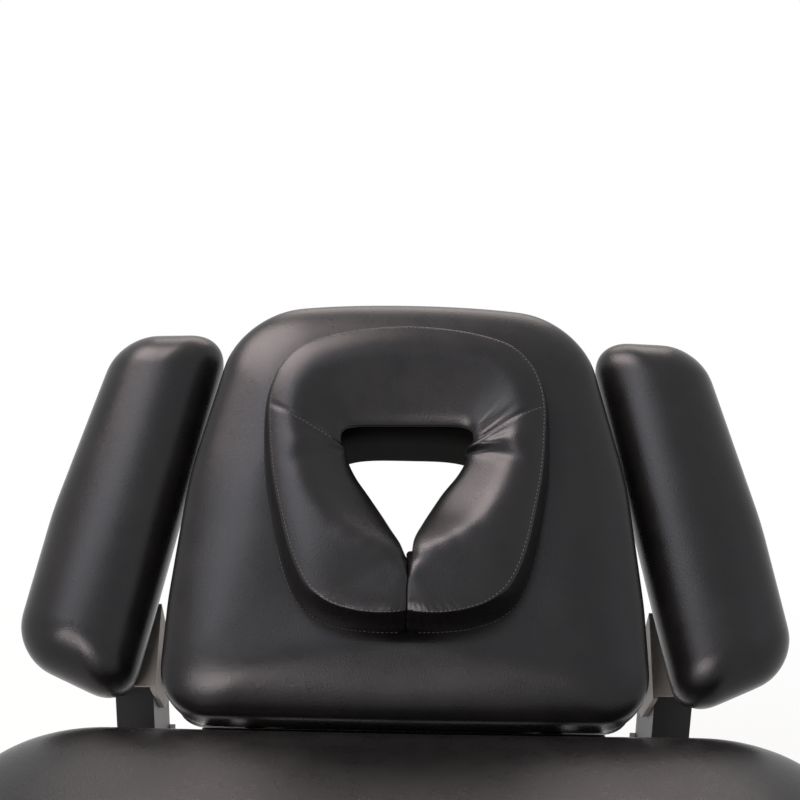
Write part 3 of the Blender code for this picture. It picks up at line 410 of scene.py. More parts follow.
def wrapped_edge(outline, middles, board, base, thickness):
    """The rings that hold the board: pocket side, return strip under the board, turned edge."""
    under = base - BOARD_GAP - thickness
    top = under - RETURN_GAP
    low = top - RETURN_THICKNESS
    rows = (
        (-POCKET_PLAY, base), (-POCKET_PLAY, top), (RETURN_WIDTH, top), (RETURN_WIDTH, low),
        (EDGE_TURN, low), (-WRAP_FOOT, top), (-WRAP, under + EDGE_TURN), (-WRAP, base - EDGE_TURN),
    )
    return [ray_ring(outline, middles, [edge + shift for edge in board], z) for shift, z in rows]


def board_insets(node, outline, middles, height, place):
    """How far the board's edge lies inside the border, measured on the board itself."""
    tree = BVHTree.FromObject(NODES[node], bpy.context.evaluated_depsgraph_get())
    insets = []
    for point, inner in zip(outline, middles):
        inward = (inner - point).normalized()
        start = place @ Vector((*(point - inward * RAY_START), height))
        hit = tree.ray_cast(start, place.to_3x3() @ Vector((*inward, 0.0)))
        insets.append(hit[3] - RAY_START)
    return insets


print("return strip", round(RETURN_WIDTH * 1000), "mm wide")

# %% Side, roll and cover
SIDE = ((0.0090, 0.0015), (0.0036, 0.007), (0.0004, 0.016), (-0.0012, 0.026), (-0.0018, 0.037))
SIDE_TOP = 0.050
PAD_CROWN = 0.0862
ROLL_OUT = 0.0016
ROLL_REACH = 0.120
ROLL_POWER = 2.1
ROLL_STEPS = (0.0006, 0.003, 0.0075, 0.0145, 0.0235, 0.035, 0.049, 0.066, 0.086, 0.108)


def ease(value, low, high):
    """A smooth step from 0 to 1 between two values."""
    t = min(1.0, max(0.0, (value - low) / (high - low)))
    return t * t * (3 - 2 * t)


def dome(share, power):
    """Height of a rounded shoulder, 0 at the border and 1 at the top, for a share of the way in."""
    return (1 - (1 - share) ** power) ** (1 / power)


def side_rings(outline, middles, board, base, rows):
    """The bulging side. Where the board comes close to the border, the side's foot goes out with it."""
    rings = []
    for inset, z in rows:
        keep = ease(z, 0.0, rows[-1][1])
        insets = [min(inset, (edge - WRAP) * (1 - keep) + inset * keep) for edge in board]
        rings.append(ray_ring(outline, middles, insets, base + z))
    return rings


def roll_rings(outline, middles, base, steps):
    """The broad soft roll from the top of the side to the crown."""
    rings = []
    for reach in steps:
        z = SIDE_TOP + (PAD_CROWN - SIDE_TOP) * dome(reach / ROLL_REACH, ROLL_POWER)
        rings.append(ray_ring(outline, middles, [reach - ROLL_OUT] * len(outline), base + z))
    return rings


def middle_line(outline, low, high, half):
    """For each point of a border, the nearest place on a line down the middle of the pad."""
    return [Vector((0.0, min(max(p.y, low + half), high - half))) for p in outline]


def placed(rings, place):
    return [[place @ Vector(p) for p in ring] for ring in rings]


def cover(name, rings, board, place, body, node, tube=False):
    piece = new_piece(name, skin(placed(rings, place), tube), BLACK_VINYL, body)
    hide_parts(node)
    smooth_by_subdivision(piece, 1)
    print(name, len(rings), "rings, board inset mm", [round(v * 1e3, 1) for v in (min(board), max(board))])


print("roll of", round(ROLL_REACH * 1000), "mm")

# %% [markdown]
# ### Main section
# The main section is one long flat pad. Its rings run towards a line down its middle that stops half a
# width before either end, so the roll is as broad at the ends as along the sides.

# %% Main section
MAIN_WIDTH = 0.80
MAIN_LENGTH = 1.40
MAIN_CORNER = 0.108
MAIN_POINTS = 300
MAIN_CROWN = ((0.12, 0.0004), (0.28, 0.0008), (0.46, 0.0010), (0.52, 0.0010))
LEVEL = Matrix.Identity(4)
main_low_y = PAD_END_Y - MAIN_LENGTH
main_base = MAIN_LOW.z
half = MAIN_WIDTH / 2
main_corners = [(-half, main_low_y), (half, main_low_y), (half, PAD_END_Y), (-half, PAD_END_Y)]
main_outline = rounded_outline(main_corners, [MAIN_CORNER] * 4, MAIN_POINTS)
main_middles = middle_line(main_outline, main_low_y, PAD_END_Y, half)
main_board = board_insets("main_board", main_outline, main_middles, main_base - BOARD_MIDDLE, LEVEL)
rings = wrapped_edge(main_outline, main_middles, main_board, main_base, BOARD_THICKNESS)
rings += side_rings(main_outline, main_middles, main_board, main_base, SIDE)
rings += roll_rings(main_outline, main_middles, main_base, ROLL_STEPS)
for share, rise in MAIN_CROWN:
    z = main_base + PAD_CROWN + rise
    rings.append(share_ring(main_outline, main_middles, ROLL_STEPS[-1], share, z))
cover("main_pad_cover", rings, main_board, LEVEL, "table_top", "main_pad")

# %% [markdown]
# ### Head section
# The head section is hinged at the main section's end and stands at 45 degrees. It is drawn flat, with
# its origin on the hinge pin, and then tilted. The face hole is an egg with its narrow end towards the
# hinge and a nearly straight top. Its wall is covered too, and the vinyl turns under the board there.

# %% Head section
def middle(node):
    low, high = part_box(node)
    return (low + high) / 2


HINGE = middle("hinge_pin")
RAISED = Matrix.Rotation(math.radians(45.0), 4, "X")
HEAD_PLACE = Matrix.Translation(HINGE) @ RAISED
HEAD_BASE = 0.005
HOLE_MIDDLE = 0.238
HOLE_REACH = 0.108
HOLE_CHIN_REACH = 0.094
HOLE_HALF = 0.0825
HOLE_SPREAD = 0.22
HOLE_RIM = 0.020


def hole_facing(point, outset):
    """The place on the face hole that is opposite a point of the border."""
    turn = math.atan2((point.y - HOLE_MIDDLE) * HOLE_HALF / HOLE_REACH, point.x)
    across, up = math.cos(turn), math.sin(turn)
    power = 0.5 if up > 0 else 1.0
    x = math.copysign(abs(across) ** power, across)
    y = math.copysign(abs(up) ** power, up)
    wide = HOLE_HALF * (1 + HOLE_SPREAD * y) + outset
    reach = HOLE_REACH if up > 0 else HOLE_CHIN_REACH
    return Vector((x * wide, HOLE_MIDDLE + y * (reach + outset)))


HEAD_FOOT_Y = 0.044
HEAD_TOP_Y = 0.504
HEAD_SIDE = ((0.241, HEAD_FOOT_Y), (0.2375, 0.163), (0.2255, 0.2962), (0.1828, 0.485))
HEAD_ROUNDING = (0.051, 0.40, 0.40, 0.092)
HEAD_TOP_ROUNDING = 1.0
HEAD_POINTS = 190
HEAD_STEPS = ROLL_STEPS[:-2]
HEAD_CROWN = ((0.25, 0.0838), (0.5, 0.0830), (0.75, 0.0814), (1.0, 0.0786))
head_left = [(-x, y) for x, y in HEAD_SIDE]
head_corners = [head_left[0], *HEAD_SIDE, (0.0, HEAD_TOP_Y), *head_left[:0:-1]]
head_radii = [HEAD_ROUNDING[0], *HEAD_ROUNDING, HEAD_TOP_ROUNDING, *HEAD_ROUNDING[:0:-1]]
head_outline = rounded_outline(head_corners, head_radii, HEAD_POINTS)
head_middles = [hole_facing(p, 0.0) for p in head_outline]
head_rim = [hole_facing(p, HOLE_RIM) for p in head_outline]
head_board = board_insets("head_board", head_outline, head_middles, HEAD_BASE - BOARD_MIDDLE, HEAD_PLACE)
rings = wrapped_edge(head_outline, head_middles, head_board, HEAD_BASE, BOARD_THICKNESS)
rings += side_rings(head_outline, head_middles, head_board, HEAD_BASE, SIDE)
rings += roll_rings(head_outline, head_middles, HEAD_BASE, HEAD_STEPS)
for share, z in HEAD_CROWN:
    rings.append(share_ring(head_outline, head_rim, HEAD_STEPS[-1] - ROLL_OUT, share, HEAD_BASE + z))
head_under = HEAD_BASE - BOARD_GAP - BOARD_THICKNESS
head_return = HEAD_BASE - RETURN_BELOW
HOLE_WALL = (
    (0.011, 0.079), (0.0045, 0.073), (0.0008, 0.064), (0.0, 0.050), (0.0, 0.025), (0.0, head_under),
    (0.002, head_return), (0.028, head_return), (0.028, head_under - RETURN_GAP),
    (0.0036, head_under - RETURN_GAP), (0.0036, HEAD_BASE),
)
for outset, z in HOLE_WALL:
    rings.append([(*hole_facing(p, outset), z) for p in head_outline])
rings.append(rings[0])
cover("head_pad_cover", rings, head_board, HEAD_PLACE, "head_section", "head_pad", tube=True)

# %% [markdown]
# ### Arm rests
# The two arm rests are narrow, so the padding is one dome from edge to edge with no flat top. The outer
# corners are rounder than the inner ones. Each is drawn straight, turned in at the toe, set beside the
# head section and tilted with it.

# %% Arm rests
ARM_PLACE = Matrix.Translation((0.0, *middle("arm_clamp_bolt_left").yz)) @ RAISED
ARM_BASE = 0.0791
ARM_BOARD_THICKNESS = 0.012
ARM_BOARD_MIDDLE = 0.006
ARM_CENTRE_X = 0.3335
ARM_TOE_IN = math.radians(11.8)
ARM_HALF = 0.066
ARM_FOOT_Y = -0.056
ARM_TOP_Y = 0.368
ARM_CORNERS = (
    (-0.067, ARM_FOOT_Y), (0.061, ARM_FOOT_Y + 0.028), (0.0675, ARM_FOOT_Y + 0.184),
    (0.0585, ARM_TOP_Y - 0.029), (-0.0585, ARM_TOP_Y),
)
ARM_ROUNDING = (0.032, 0.052, 0.40, 0.057, 0.030)
ARM_POINTS = 140
ARM_SIDE = ((0.0045, 0.002), (0.0016, 0.007), (-0.0007, 0.015), (-0.0017, 0.024))
ARM_SIDE_TOP = 0.027
ARM_CROWN = 0.072
ARM_POWER = 2.05
ARM_BULGE = 0.03
ARM_STEPS = (0.006, 0.03, 0.075, 0.14, 0.22, 0.32, 0.44, 0.57, 0.71, 0.84, 0.94)
for label, side in (("left", -1), ("right", 1)):
    corners = [(side * x, y) for x, y in ARM_CORNERS][::side]
    outline = rounded_outline(corners, ARM_ROUNDING[::side], ARM_POINTS)
    middles = middle_line(outline, ARM_FOOT_Y, ARM_TOP_Y, ARM_HALF)
    toe_in = Matrix.Translation((side * ARM_CENTRE_X, 0, 0)) @ Matrix.Rotation(side * ARM_TOE_IN, 4, "Z")
    place = ARM_PLACE @ toe_in
    arm_board = board_insets(f"arm_board_{label}", outline, middles, ARM_BASE - ARM_BOARD_MIDDLE, place)
    rings = wrapped_edge(outline, middles, arm_board, ARM_BASE, ARM_BOARD_THICKNESS)
    rings += side_rings(outline, middles, arm_board, ARM_BASE, ARM_SIDE)
    for share in ARM_STEPS:
        z = ARM_SIDE_TOP + (ARM_CROWN - ARM_SIDE_TOP) * dome(share, ARM_POWER)
        rings.append(share_ring(outline, middles, 0.0, share * (1 + ARM_BULGE) - ARM_BULGE, ARM_BASE + z))
    cover(f"arm_pad_cover_{label}", rings, arm_board, place, f"arm_rest_{label}", f"arm_pad_{label}")

# %% [markdown]
# ## The face cushion
# The face cushion is a boxed horseshoe: a forehead band and two lobes that meet at the chin, sewn from a
# top, a wall and a base. Each row below is a place along one half: the top seam, the base line, the
# inner edge and the seam's height. A smooth curve runs through the rows, a cross-section hangs on each
# station, and the skin is pulled along them from one lobe's tip to the other's.

# %% Cushion stations
CUSHION_BASE = 0.0835
CUSHION_TURN = math.radians(1.1)
CUSHION_ROWS = np.array([
    # seam x, seam y, base x, base y, inner x, inner y, seam height
    (0.0000, 0.4424, 0.0000, 0.4465, 0.0000, 0.3360, 0.036),
    (0.0449, 0.4389, 0.0465, 0.4430, 0.0240, 0.3358, 0.036),
    (0.0793, 0.4318, 0.0820, 0.4357, 0.0420, 0.3354, 0.036),
    (0.1083, 0.4202, 0.1117, 0.4237, 0.0550, 0.3344, 0.036),
    (0.1266, 0.4010, 0.1310, 0.4035, 0.0625, 0.3312, 0.036),
    (0.1358, 0.3793, 0.1410, 0.3810, 0.0660, 0.3252, 0.036),
    (0.1400, 0.3550, 0.1452, 0.3570, 0.0660, 0.3160, 0.036),
    (0.1388, 0.3230, 0.1460, 0.3260, 0.0625, 0.3050, 0.037),
    (0.1342, 0.2805, 0.1435, 0.2835, 0.0520, 0.2825, 0.039),
    (0.1269, 0.2445, 0.1370, 0.2465, 0.0385, 0.2620, 0.041),
    (0.1183, 0.2090, 0.1290, 0.2085, 0.0255, 0.2400, 0.043),
    (0.1075, 0.1780, 0.1195, 0.1765, 0.0165, 0.2220, 0.045),
    (0.0941, 0.1560, 0.1066, 0.1520, 0.0080, 0.2060, 0.046),
    (0.0747, 0.1418, 0.0870, 0.1365, 0.0030, 0.1930, 0.046),
    (0.0491, 0.1338, 0.0590, 0.1275, 0.0000, 0.1880, 0.046),
    (0.0220, 0.1315, 0.0300, 0.1245, -0.0003, 0.1800, 0.046),
    (0.0040, 0.1335, 0.0050, 0.1245, -0.0004, 0.1720, 0.045),
])
LAST_ROW = len(CUSHION_ROWS) - 1
CROSS_SEAM = 6.0


def along_rows(u):
    """A row between the given rows, on a curve that passes through all of them."""
    i = min(int(u), LAST_ROW - 1)
    t = u - i
    mirrored = CUSHION_ROWS[1] * np.array([-1, 1, -1, 1, -1, 1, 1])
    before = CUSHION_ROWS[i - 1] if i else mirrored
    start, end = CUSHION_ROWS[i], CUSHION_ROWS[i + 1]
    after = CUSHION_ROWS[i + 2] if i + 2 <= LAST_ROW else 2 * end - start
    return 0.5 * (
        2 * start + (end - before) * t + (2 * before - 5 * start + 4 * end - after) * t * t
        + (3 * start - before - 3 * end + after) * t ** 3
    )


print("cushion rows", len(CUSHION_ROWS))

# %% [markdown]
# ### The cushion's top
# The top is nearly flat beside its seam, then slopes down to the face opening. Where the forehead band
# meets a lobe, the vinyl is pulled round a tight corner and crumples, more on the right than on the left.
# Smooth steps and bells say how high the top is at a place along the half (u) and across it (w).

# %% Cushion top
LIP_DROP = 0.003
CRUMPLE_RIGHT = 0.0044
CRUMPLE_LEFT = 0.0018
CHIN_PUCKER = 0.0004


def bell(value, centre, width):
    return math.exp(-((value - centre) / width) ** 2)


def top_rise(u, w, reach):
    """The top over its seam: nearly flat outside, then a slope to the inner edge, narrow at the chin."""
    over = max(0.0, w - 0.25 - 0.13 * ease(u, 0.0, 7.0) - 0.46 * ease(u, 8.6, 13.0))
    slope = 0.27 + 0.33 * ease(u, 4.8, 8.0)
    drop = (slope * reach + 0.045 * ease(u, 12.6, 14.0)) * over ** 2 / (over + 0.06)
    crown = 0.0066 - 0.0040 * ease(u, 10.0, 13.0)
    return crown * (1 - (1 - min(1.0, w / 0.32)) ** 2) - drop - LIP_DROP * ease(w, 0.93, 1.0)


def crumple(u, w, side):
    """A knuckle and a long crease where the inner edge turns beside the cross seam; puckers at the chin."""
    strength = CRUMPLE_RIGHT if side > 0 else CRUMPLE_LEFT
    knuckle = bell(u, 6.5, 0.5) * ease(w, 0.60, 0.92)
    line = 7.0 + 1.3 * (0.85 - w)
    crease = ease(w, 0.12, 0.45) * (0.65 * bell(u, line - 0.42, 0.30) - 0.9 * bell(u, line, 0.20))
    corner = bell(u, 6.0, 1.2) * ease(w, 0.40, 0.75) * (1 - ease(w, 0.88, 1.0))
    folds = 0.22 * corner * (math.sin(u * 5.2 + w * 3.0) + 0.6 * math.sin(u * 11.0 - w * 7.0))
    ripple = math.sin(u * 26.0) * math.sin(u * 7.3 + 1.0)
    chin = ease(u, 11.0, 13.0) * (1 - ease(w, 0.10, 0.25)) * ripple
    return strength * (knuckle + crease + folds) + CHIN_PUCKER * chin


print("top rises", [round(top_rise(u, 0.2, 0.1) * 1000, 1) for u in (0, CROSS_SEAM, LAST_ROW)], "mm")

# %% Cushion sections
WALL_SHARES = (0.0, 0.25, 0.5, 0.75)
WALL_BULGE = 0.0022
WALL_PUCKER = 0.0007
ACROSS = (0.035, 0.10, 0.20, 0.32, 0.45, 0.58, 0.70, 0.81, 0.90, 0.96, 1.0)
SEAM_POINT = len(WALL_SHARES)
LIP_POINT = SEAM_POINT + len(ACROSS)
SEAM_GROOVE = 0.0015
LEAST_HEIGHT = 0.004
LOBE_LEAN = 0.0055
KNUCKLE_IN = Vector((0.0055, 0.0020))
CUSHION_PIVOT = Vector((0.0, 0.22))


def cushion_section(u, side):
    seam_x, seam_y, base_x, base_y, inner_x, inner_y, seam_height = along_rows(u)
    if side > 0:
        inner_x -= LOBE_LEAN * ease(u, 7.0, 9.0) * (1 - ease(u, 11.0, 13.0))
    knuckle = bell(u, 6.6, 0.5) * (1.0 if side > 0 else 0.4)
    seam, base = Vector((seam_x, seam_y)), Vector((base_x, base_y))
    inner = Vector((inner_x, inner_y)) - KNUCKLE_IN * knuckle
    lobe = ease(u, 4.8, 8.0)
    groove = SEAM_GROOVE if abs(u - CROSS_SEAM) < 0.01 else 0.0
    pucker = WALL_PUCKER * math.sin(u * 21.0) * ease(u, 9.0, 12.0)
    section = []
    for share in WALL_SHARES:
        out = (base - seam).normalized() * (WALL_BULGE * math.sin(math.pi * share) + pucker * share)
        section.append((base.lerp(seam, share ** 1.3) + out, seam_height * share))
    section.append((seam, seam_height))
    for w in ACROSS:
        rise = top_rise(u, w, (inner - seam).length) - groove * min(1.0, w * 8) + crumple(u, w, side)
        section.append((seam.lerp(inner, w), max(LEAST_HEIGHT, seam_height + rise)))
    section.append((seam.lerp(inner, 0.90 + 0.08 * lobe), 0.0))
    for w in (0.7, 0.35):
        section.append((base.lerp(inner, w), 0.0))
    spin = Matrix.Rotation(CUSHION_TURN, 2)
    ring = []
    for spot, height in section:
        turned = spin @ (Vector((side * spot.x, spot.y)) - CUSHION_PIVOT) + CUSHION_PIVOT
        ring.append(Vector((turned.x, turned.y, CUSHION_BASE + height)))
    return ring


print("points in a section", len(cushion_section(0.0, 1)))

# %% Cushion cover
STEPS_PER_ROW = 6
TIPS = ((0.985, 0.0018), (0.95, 0.0002), (0.80, -0.0004))
CREASES = ((0, 0.75), (SEAM_POINT, 0.8), (LIP_POINT, 0.9))


def lobe_tip(ring, side):
    """More rings that round a lobe off where it meets the other."""
    centre = sum(ring, Vector()) / len(ring)
    return [[Vector((side * x, *centre.lerp(p, keep).yz)) for p in ring] for keep, x in TIPS]


def spot_of(point):
    return tuple(round(v, 6) for v in point)


marks = [i / STEPS_PER_ROW for i in range(LAST_ROW * STEPS_PER_ROW + 1)]
left = [cushion_section(u, -1) for u in reversed(marks)]
right = [cushion_section(u, 1) for u in marks[1:]]
cushion_rings = lobe_tip(left[0], -1)[::-1] + left + right + lobe_tip(right[-1], 1)
cushion_rings = placed(cushion_rings, HEAD_PLACE)
bm = skin(cushion_rings)
crease = bm.edges.layers.float.new("crease_edge")
sharp = {}
for point, weight in CREASES:
    for ring in cushion_rings[len(TIPS):-len(TIPS)]:
        sharp[spot_of(ring[point])] = (point, weight)
for edge in bm.edges:
    first, second = [sharp.get(spot_of(vert.co)) for vert in edge.verts]
    if first and first == second:
        edge[crease] = first[1]
cushion = new_piece("face_cushion_cover", bm, BLACK_VINYL, "face_cushion")
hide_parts("face_cushion")
smooth_by_subdivision(cushion, 2)
print("cushion rings", len(cushion_rings), "points each", len(cushion_rings[0]))

# %% [markdown]
# ### Seams
# The cushion is sewn along its top edge, along its base and across both sides beside the face opening.
# Thread lies in short stitches, a little over four millimetres apart. A path is walked at equal steps,
# the nearest place on the finished, subdivided cover is found, and a small ball, stretched along the seam,
# is half sunk there.

# %% Stitches
STITCH_PITCH = 0.0044
STITCH_SIZE = Vector((0.00160, 0.00034, 0.00034))
STITCH_LIFT = 0.00004


def thread_finish():
    material, wire, shader = new_finish("sewing_thread")
    twist = wire.place().noise(1500.0, 1.0)
    colour = twist.between(0.3, 0.7).tint((0.060, 0.051, 0.047), (0.135, 0.116, 0.108))
    wire.feed(colour, shader.inputs["Base Color"])
    wire.feed(0.55 + 0.2 * twist, shader.inputs["Roughness"])
    return material


THREAD = thread_finish()
bpy.context.view_layer.update()
COVER_TREE = BVHTree.FromObject(cushion, bpy.context.evaluated_depsgraph_get())


def sew(name, path):
    """One row of stitches along a path on the cushion."""
    steps = np.array([tuple(p) for p in path])
    run = running_length(steps)
    count = int(run[-1] / STITCH_PITCH)
    bm = bmesh.new()
    for i in range(count):
        here, ahead = [
            Vector([np.interp((i + shift) * STITCH_PITCH, run, steps[:, axis]) for axis in range(3)])
            for shift in (0.5, 0.9)
        ]
        spot, normal, _, _ = COVER_TREE.find_nearest(here)
        along = (ahead - here).normalized()
        across = normal.cross(along).normalized()
        up = along.cross(across)
        turn = Matrix((along, across, up)).transposed().to_4x4()
        lay = Matrix.Translation(spot + normal * STITCH_LIFT) @ turn @ Matrix.Diagonal((*STITCH_SIZE, 1.0))
        bmesh.ops.create_icosphere(bm, subdivisions=1, radius=1.0, matrix=lay)
    new_piece(name, bm, THREAD, "face_cushion")
    return count


body_rings = cushion_rings[len(TIPS) + 1:-len(TIPS) - 1]
sewn = sew("top_seam_stitches", [ring[SEAM_POINT].lerp(ring[SEAM_POINT + 1], 0.55) for ring in body_rings])
sewn += sew("base_seam_stitches", [ring[0].lerp(ring[1], 0.35) for ring in body_rings])
for label, side in (("left", -1), ("right", 1)):
    across_ring = placed([cushion_section(CROSS_SEAM + 0.12, side)], HEAD_PLACE)[0]
    sewn += sew(f"cross_seam_stitches_{label}", across_ring[SEAM_POINT:LIP_POINT - 1])
print("stitches", sewn)

# %% [markdown]
# ## Metal, plastic, rubber and board
# Under the padding the table is plain workshop stuff: powder-coated tube, zinc-plated pins, moulded
# plastic and rubber. Powder coat has a fine orange-peel skin and is a little worn; zinc is bright but
# patchy, with faint turning marks; moulded plastic has a spark texture. Each finish reads the object's
# own coordinates, so nothing slides when a body moves.

# %% Finishes
def powder_coat(name, dark, light, roughness):
    material, wire, shader = new_finish(name)
    place = wire.place()
    peel = place.noise(420.0, 1.0)
    dust = place.noise(14.0, 4.0)
    scuff = place.noise(70.0, 3.0).between(0.62, 0.72)
    tone = (dust * 0.75 + scuff * 0.35).between(0.25, 0.75)
    worn = roughness + 0.14 * (dust - 0.5) + 0.08 * scuff
    paint(wire, shader, tone.tint(dark, light), worn, (peel * 0.00016).bump(0.6))
    shader.inputs["Specular IOR Level"].default_value = 0.32
    return material


def zinc_plate():
    material, wire, shader = new_finish("zinc_plate")
    place = wire.place()
    patch = place.noise(60.0, 4.0)
    across = wire.node("ShaderNodeMapping", None, {"Vector": place, "Scale": (900.0, 40.0, 40.0)})
    turning = across.noise(1.0, 1.0)
    colour = patch.between(0.3, 0.7).tint((0.44, 0.44, 0.42), (0.66, 0.66, 0.64))
    paint(wire, shader, colour, 0.22 + 0.16 * patch + 0.08 * turning, (turning * 0.00008).bump(0.35))
    shader.inputs["Metallic"].default_value = 1.0
    return material


def moulded(name, dark, light, roughness, grain):
    material, wire, shader = new_finish(name)
    place = wire.place()
    spark = place.noise(grain, 2.0)
    cloud = place.noise(11.0, 3.0)
    colour = cloud.between(0.3, 0.7).tint(dark, light)
    paint(wire, shader, colour, roughness + 0.12 * (cloud - 0.5), (spark * 0.00014).bump(0.7))
    return material


def sealed_board():
    material, wire, shader = new_finish("sealed_plywood_board")
    along = wire.node("ShaderNodeMapping", None, {"Vector": wire.place(), "Scale": (60.0, 3.0, 60.0)})
    grain = along.noise(1.0, 4.0)
    flecks = along.noise(6.0, 2.0)
    tone = (grain * 0.7 + flecks * 0.3).between(0.3, 0.68)
    colour = tone.tint((0.055, 0.040, 0.027), (0.150, 0.112, 0.075))
    paint(wire, shader, colour, 0.52 + 0.2 * (flecks - 0.5), (grain * 0.0003).bump(0.4))
    return material


BLACK_COAT = powder_coat("black_powder_coat", (0.0085, 0.0088, 0.0102), (0.016, 0.0162, 0.0180), 0.44)
# A paler grey copy of the powder coat: painted light, so the brackets' faces in the shade between the pads
# read as lit.
PAINTED_LIGHT_BRACKET_COAT = powder_coat("bracket_coat_painted_light", (0.330, 0.315, 0.300), (0.410, 0.392, 0.374), 0.58)
ZINC = zinc_plate()
PLASTIC = moulded("black_plastic", (0.013, 0.013, 0.014), (0.022, 0.022, 0.023), 0.46, 700.0)
RUBBER = moulded("black_rubber", (0.010, 0.010, 0.010), (0.022, 0.021, 0.020), 0.78, 320.0)
BOARD = sealed_board()
print("finishes", len(bpy.data.materials))

# %% [markdown]
# ### Finishes on the frame
# The imported model's own parts show under the padding. Each names the stuff that it is made of, so a table
# from stuff to finish dresses them all; only the arm rests' brackets get a paler grey copy of the coat,
# painted light that makes their shaded faces between the pads read as lit.

# %% Finishes on the frame
FINISH_OF_SLOT = {
    "black_vinyl": BLACK_VINYL, "sealed_plywood": BOARD, "black_powder_coat": BLACK_COAT,
    "zinc_plated_steel": ZINC, "black_plastic": PLASTIC, "rubber": RUBBER,
}
for part in frame["record"]["subparts"]:
    finish = FINISH_OF_SLOT[part["material_slot"]]
    if part["node"].startswith("arm_bracket"):
        finish = PAINTED_LIGHT_BRACKET_COAT
    node_mesh = NODES[part["node"]].data
    node_mesh.materials.clear()
    node_mesh.materials.append(finish)

# %% [markdown]
# ## Under the face cushion
# The face hole is lined with a sheet of dull black cloth that goes up over its rolled edge. This sheet is
# painted shade that stands in for the deep shadow in the hole, so no light comes back from its wall. A
# strip of vinyl with a rolled hem runs along the head board's lower edge and hides the gap at the hinge. It
# is cut short over the two hinge ears, so they stay free when the head section is lowered.
# A small tab holds the cushion's lobes together.

# %% Hole liner: painted shade
# Near-black dull cloth: painted shade where it lines the face hole, and the lobe tab's own black.
SHADE_LINER_AND_TAB_CLOTH = moulded("shade_liner_and_tab_cloth", (0.0022, 0.0022, 0.0022), (0.0045, 0.0044, 0.0043), 0.90, 900.0)
SHADE_LINER_AND_TAB_CLOTH.node_tree.nodes["Principled BSDF"].inputs["Specular IOR Level"].default_value = 0.06
shade_liner_low = head_under + 0.001
SHADE_LINER_RINGS = (
    (0.0060, 0.0758), (0.0040, 0.0736), (0.0004, 0.0644), (-0.0003, 0.058), (-0.0003, shade_liner_low),
    (-0.0014, shade_liner_low), (-0.0014, 0.058), (-0.0008, 0.0650), (0.0030, 0.0744), (0.0054, 0.0768),
)
rings = [[(*hole_facing(p, outset), z) for p in head_outline] for outset, z in SHADE_LINER_RINGS + SHADE_LINER_RINGS[:1]]
bm = skin(placed(rings, HEAD_PLACE), tube=True)
new_piece("face_hole_shade_liner", bm, SHADE_LINER_AND_TAB_CLOTH, "head_section")
print("liner rings", len(rings))

# %% Gap strip
STRIP_SPANS = (
    # start, end, count of sections, share of the full reach
    (-0.2025, -0.1745, 6, 1.0), (-0.1738, -0.1572, 5, 0.42), (-0.1565, 0.1565, 24, 1.0),
    (0.1572, 0.1738, 5, 0.42), (0.1745, 0.2025, 6, 1.0),
)
STRIP_EDGE = 0.0465
STRIP_SAG = 0.0005
STRIP_REACH = 0.05
STRIP_PROFILE = (
    (0.0480, 0.0035), (0.0480, -0.0080), (0.0465, -0.0098), (0.0200, -0.0098), (-0.0020, -0.0100),
    (-0.0045, -0.0106), (-0.0062, -0.0100), (-0.0066, -0.0090), (-0.0050, -0.0082), (-0.0024, -0.0083),
    (0.0200, -0.0086), (0.0450, -0.0084), (0.0464, -0.0070), (0.0466, 0.0035),
)
rings = []
for start, end, count, reach in STRIP_SPANS:
    for x in np.linspace(start, end, count):
        sag = STRIP_SAG * math.sin(x * 31.0)
        ring = []
        for y, z in STRIP_PROFILE:
            hang = max(0.0, STRIP_EDGE - y)
            ring.append((x, max(y, STRIP_EDGE) - hang * reach, z + sag * hang / STRIP_REACH))
        rings.append(ring)
bm = skin(placed(rings, HEAD_PLACE))
smooth_by_subdivision(new_piece("gap_strip", bm, BLACK_VINYL, "head_section"), 1)
print("strip sections", len(rings))

# %% Lobe tab
TAB_AT = (0.0042, 0.187, CUSHION_BASE + 0.0335)
TAB_SIZE = (0.0090, 0.021, 0.008, 1.0)
TAB_TURN = 0.10


def bevel_edges(part, edges, offset, segments):
    bmesh.ops.bevel(
        part, geom=edges, offset=offset, offset_type="OFFSET", affect="EDGES",
        segments=segments, profile=0.5, material=-1,
    )


bm = bmesh.new()
tab_place = HEAD_PLACE @ Matrix.Translation(TAB_AT) @ Matrix.Rotation(TAB_TURN, 4, "Z")
bmesh.ops.create_cube(bm, size=1.0, matrix=tab_place @ Matrix.Diagonal(TAB_SIZE))
bevel_edges(bm, list(bm.edges), 0.0038, 4)
new_piece("lobe_tab", bm, SHADE_LINER_AND_TAB_CLOTH, "face_cushion")
print("tab", TAB_SIZE[:3])

# %% [markdown]
# ## Small hardware
# A table like this is held together by ordinary shop parts. Each is small and plain, so a few helpers make
# them all: a turned part is a profile spun round its axis, a bolt head is a six-sided cone with its edges
# bevelled, and a moulded part is a bevelled block. All parts of one finish on one body are gathered in a
# kit and become one piece.

# %% Hardware helpers
KITS = {}
SLOT_OF_KIT = {"zinc": "zinc_plated_steel", "plastic": "black_plastic", "rubber": "rubber"}
WASHER = 0.0016
SUNK = 0.0002


def along_axis(at, axis):
    """A place whose own Z points along an axis of the table."""
    return Matrix.Translation(at) @ Vector(axis).to_track_quat("Z", "Y").to_matrix().to_4x4()


def into_kit(body, kind, part, place):
    bmesh.ops.remove_doubles(part, verts=part.verts, dist=1e-6)
    bmesh.ops.recalc_face_normals(part, faces=part.faces)
    bmesh.ops.transform(part, matrix=place, verts=part.verts)
    carrier = bpy.data.meshes.new("carrier")
    part.to_mesh(carrier)
    part.free()
    KITS.setdefault((body, kind), bmesh.new()).from_mesh(carrier)
    bpy.data.meshes.remove(carrier)


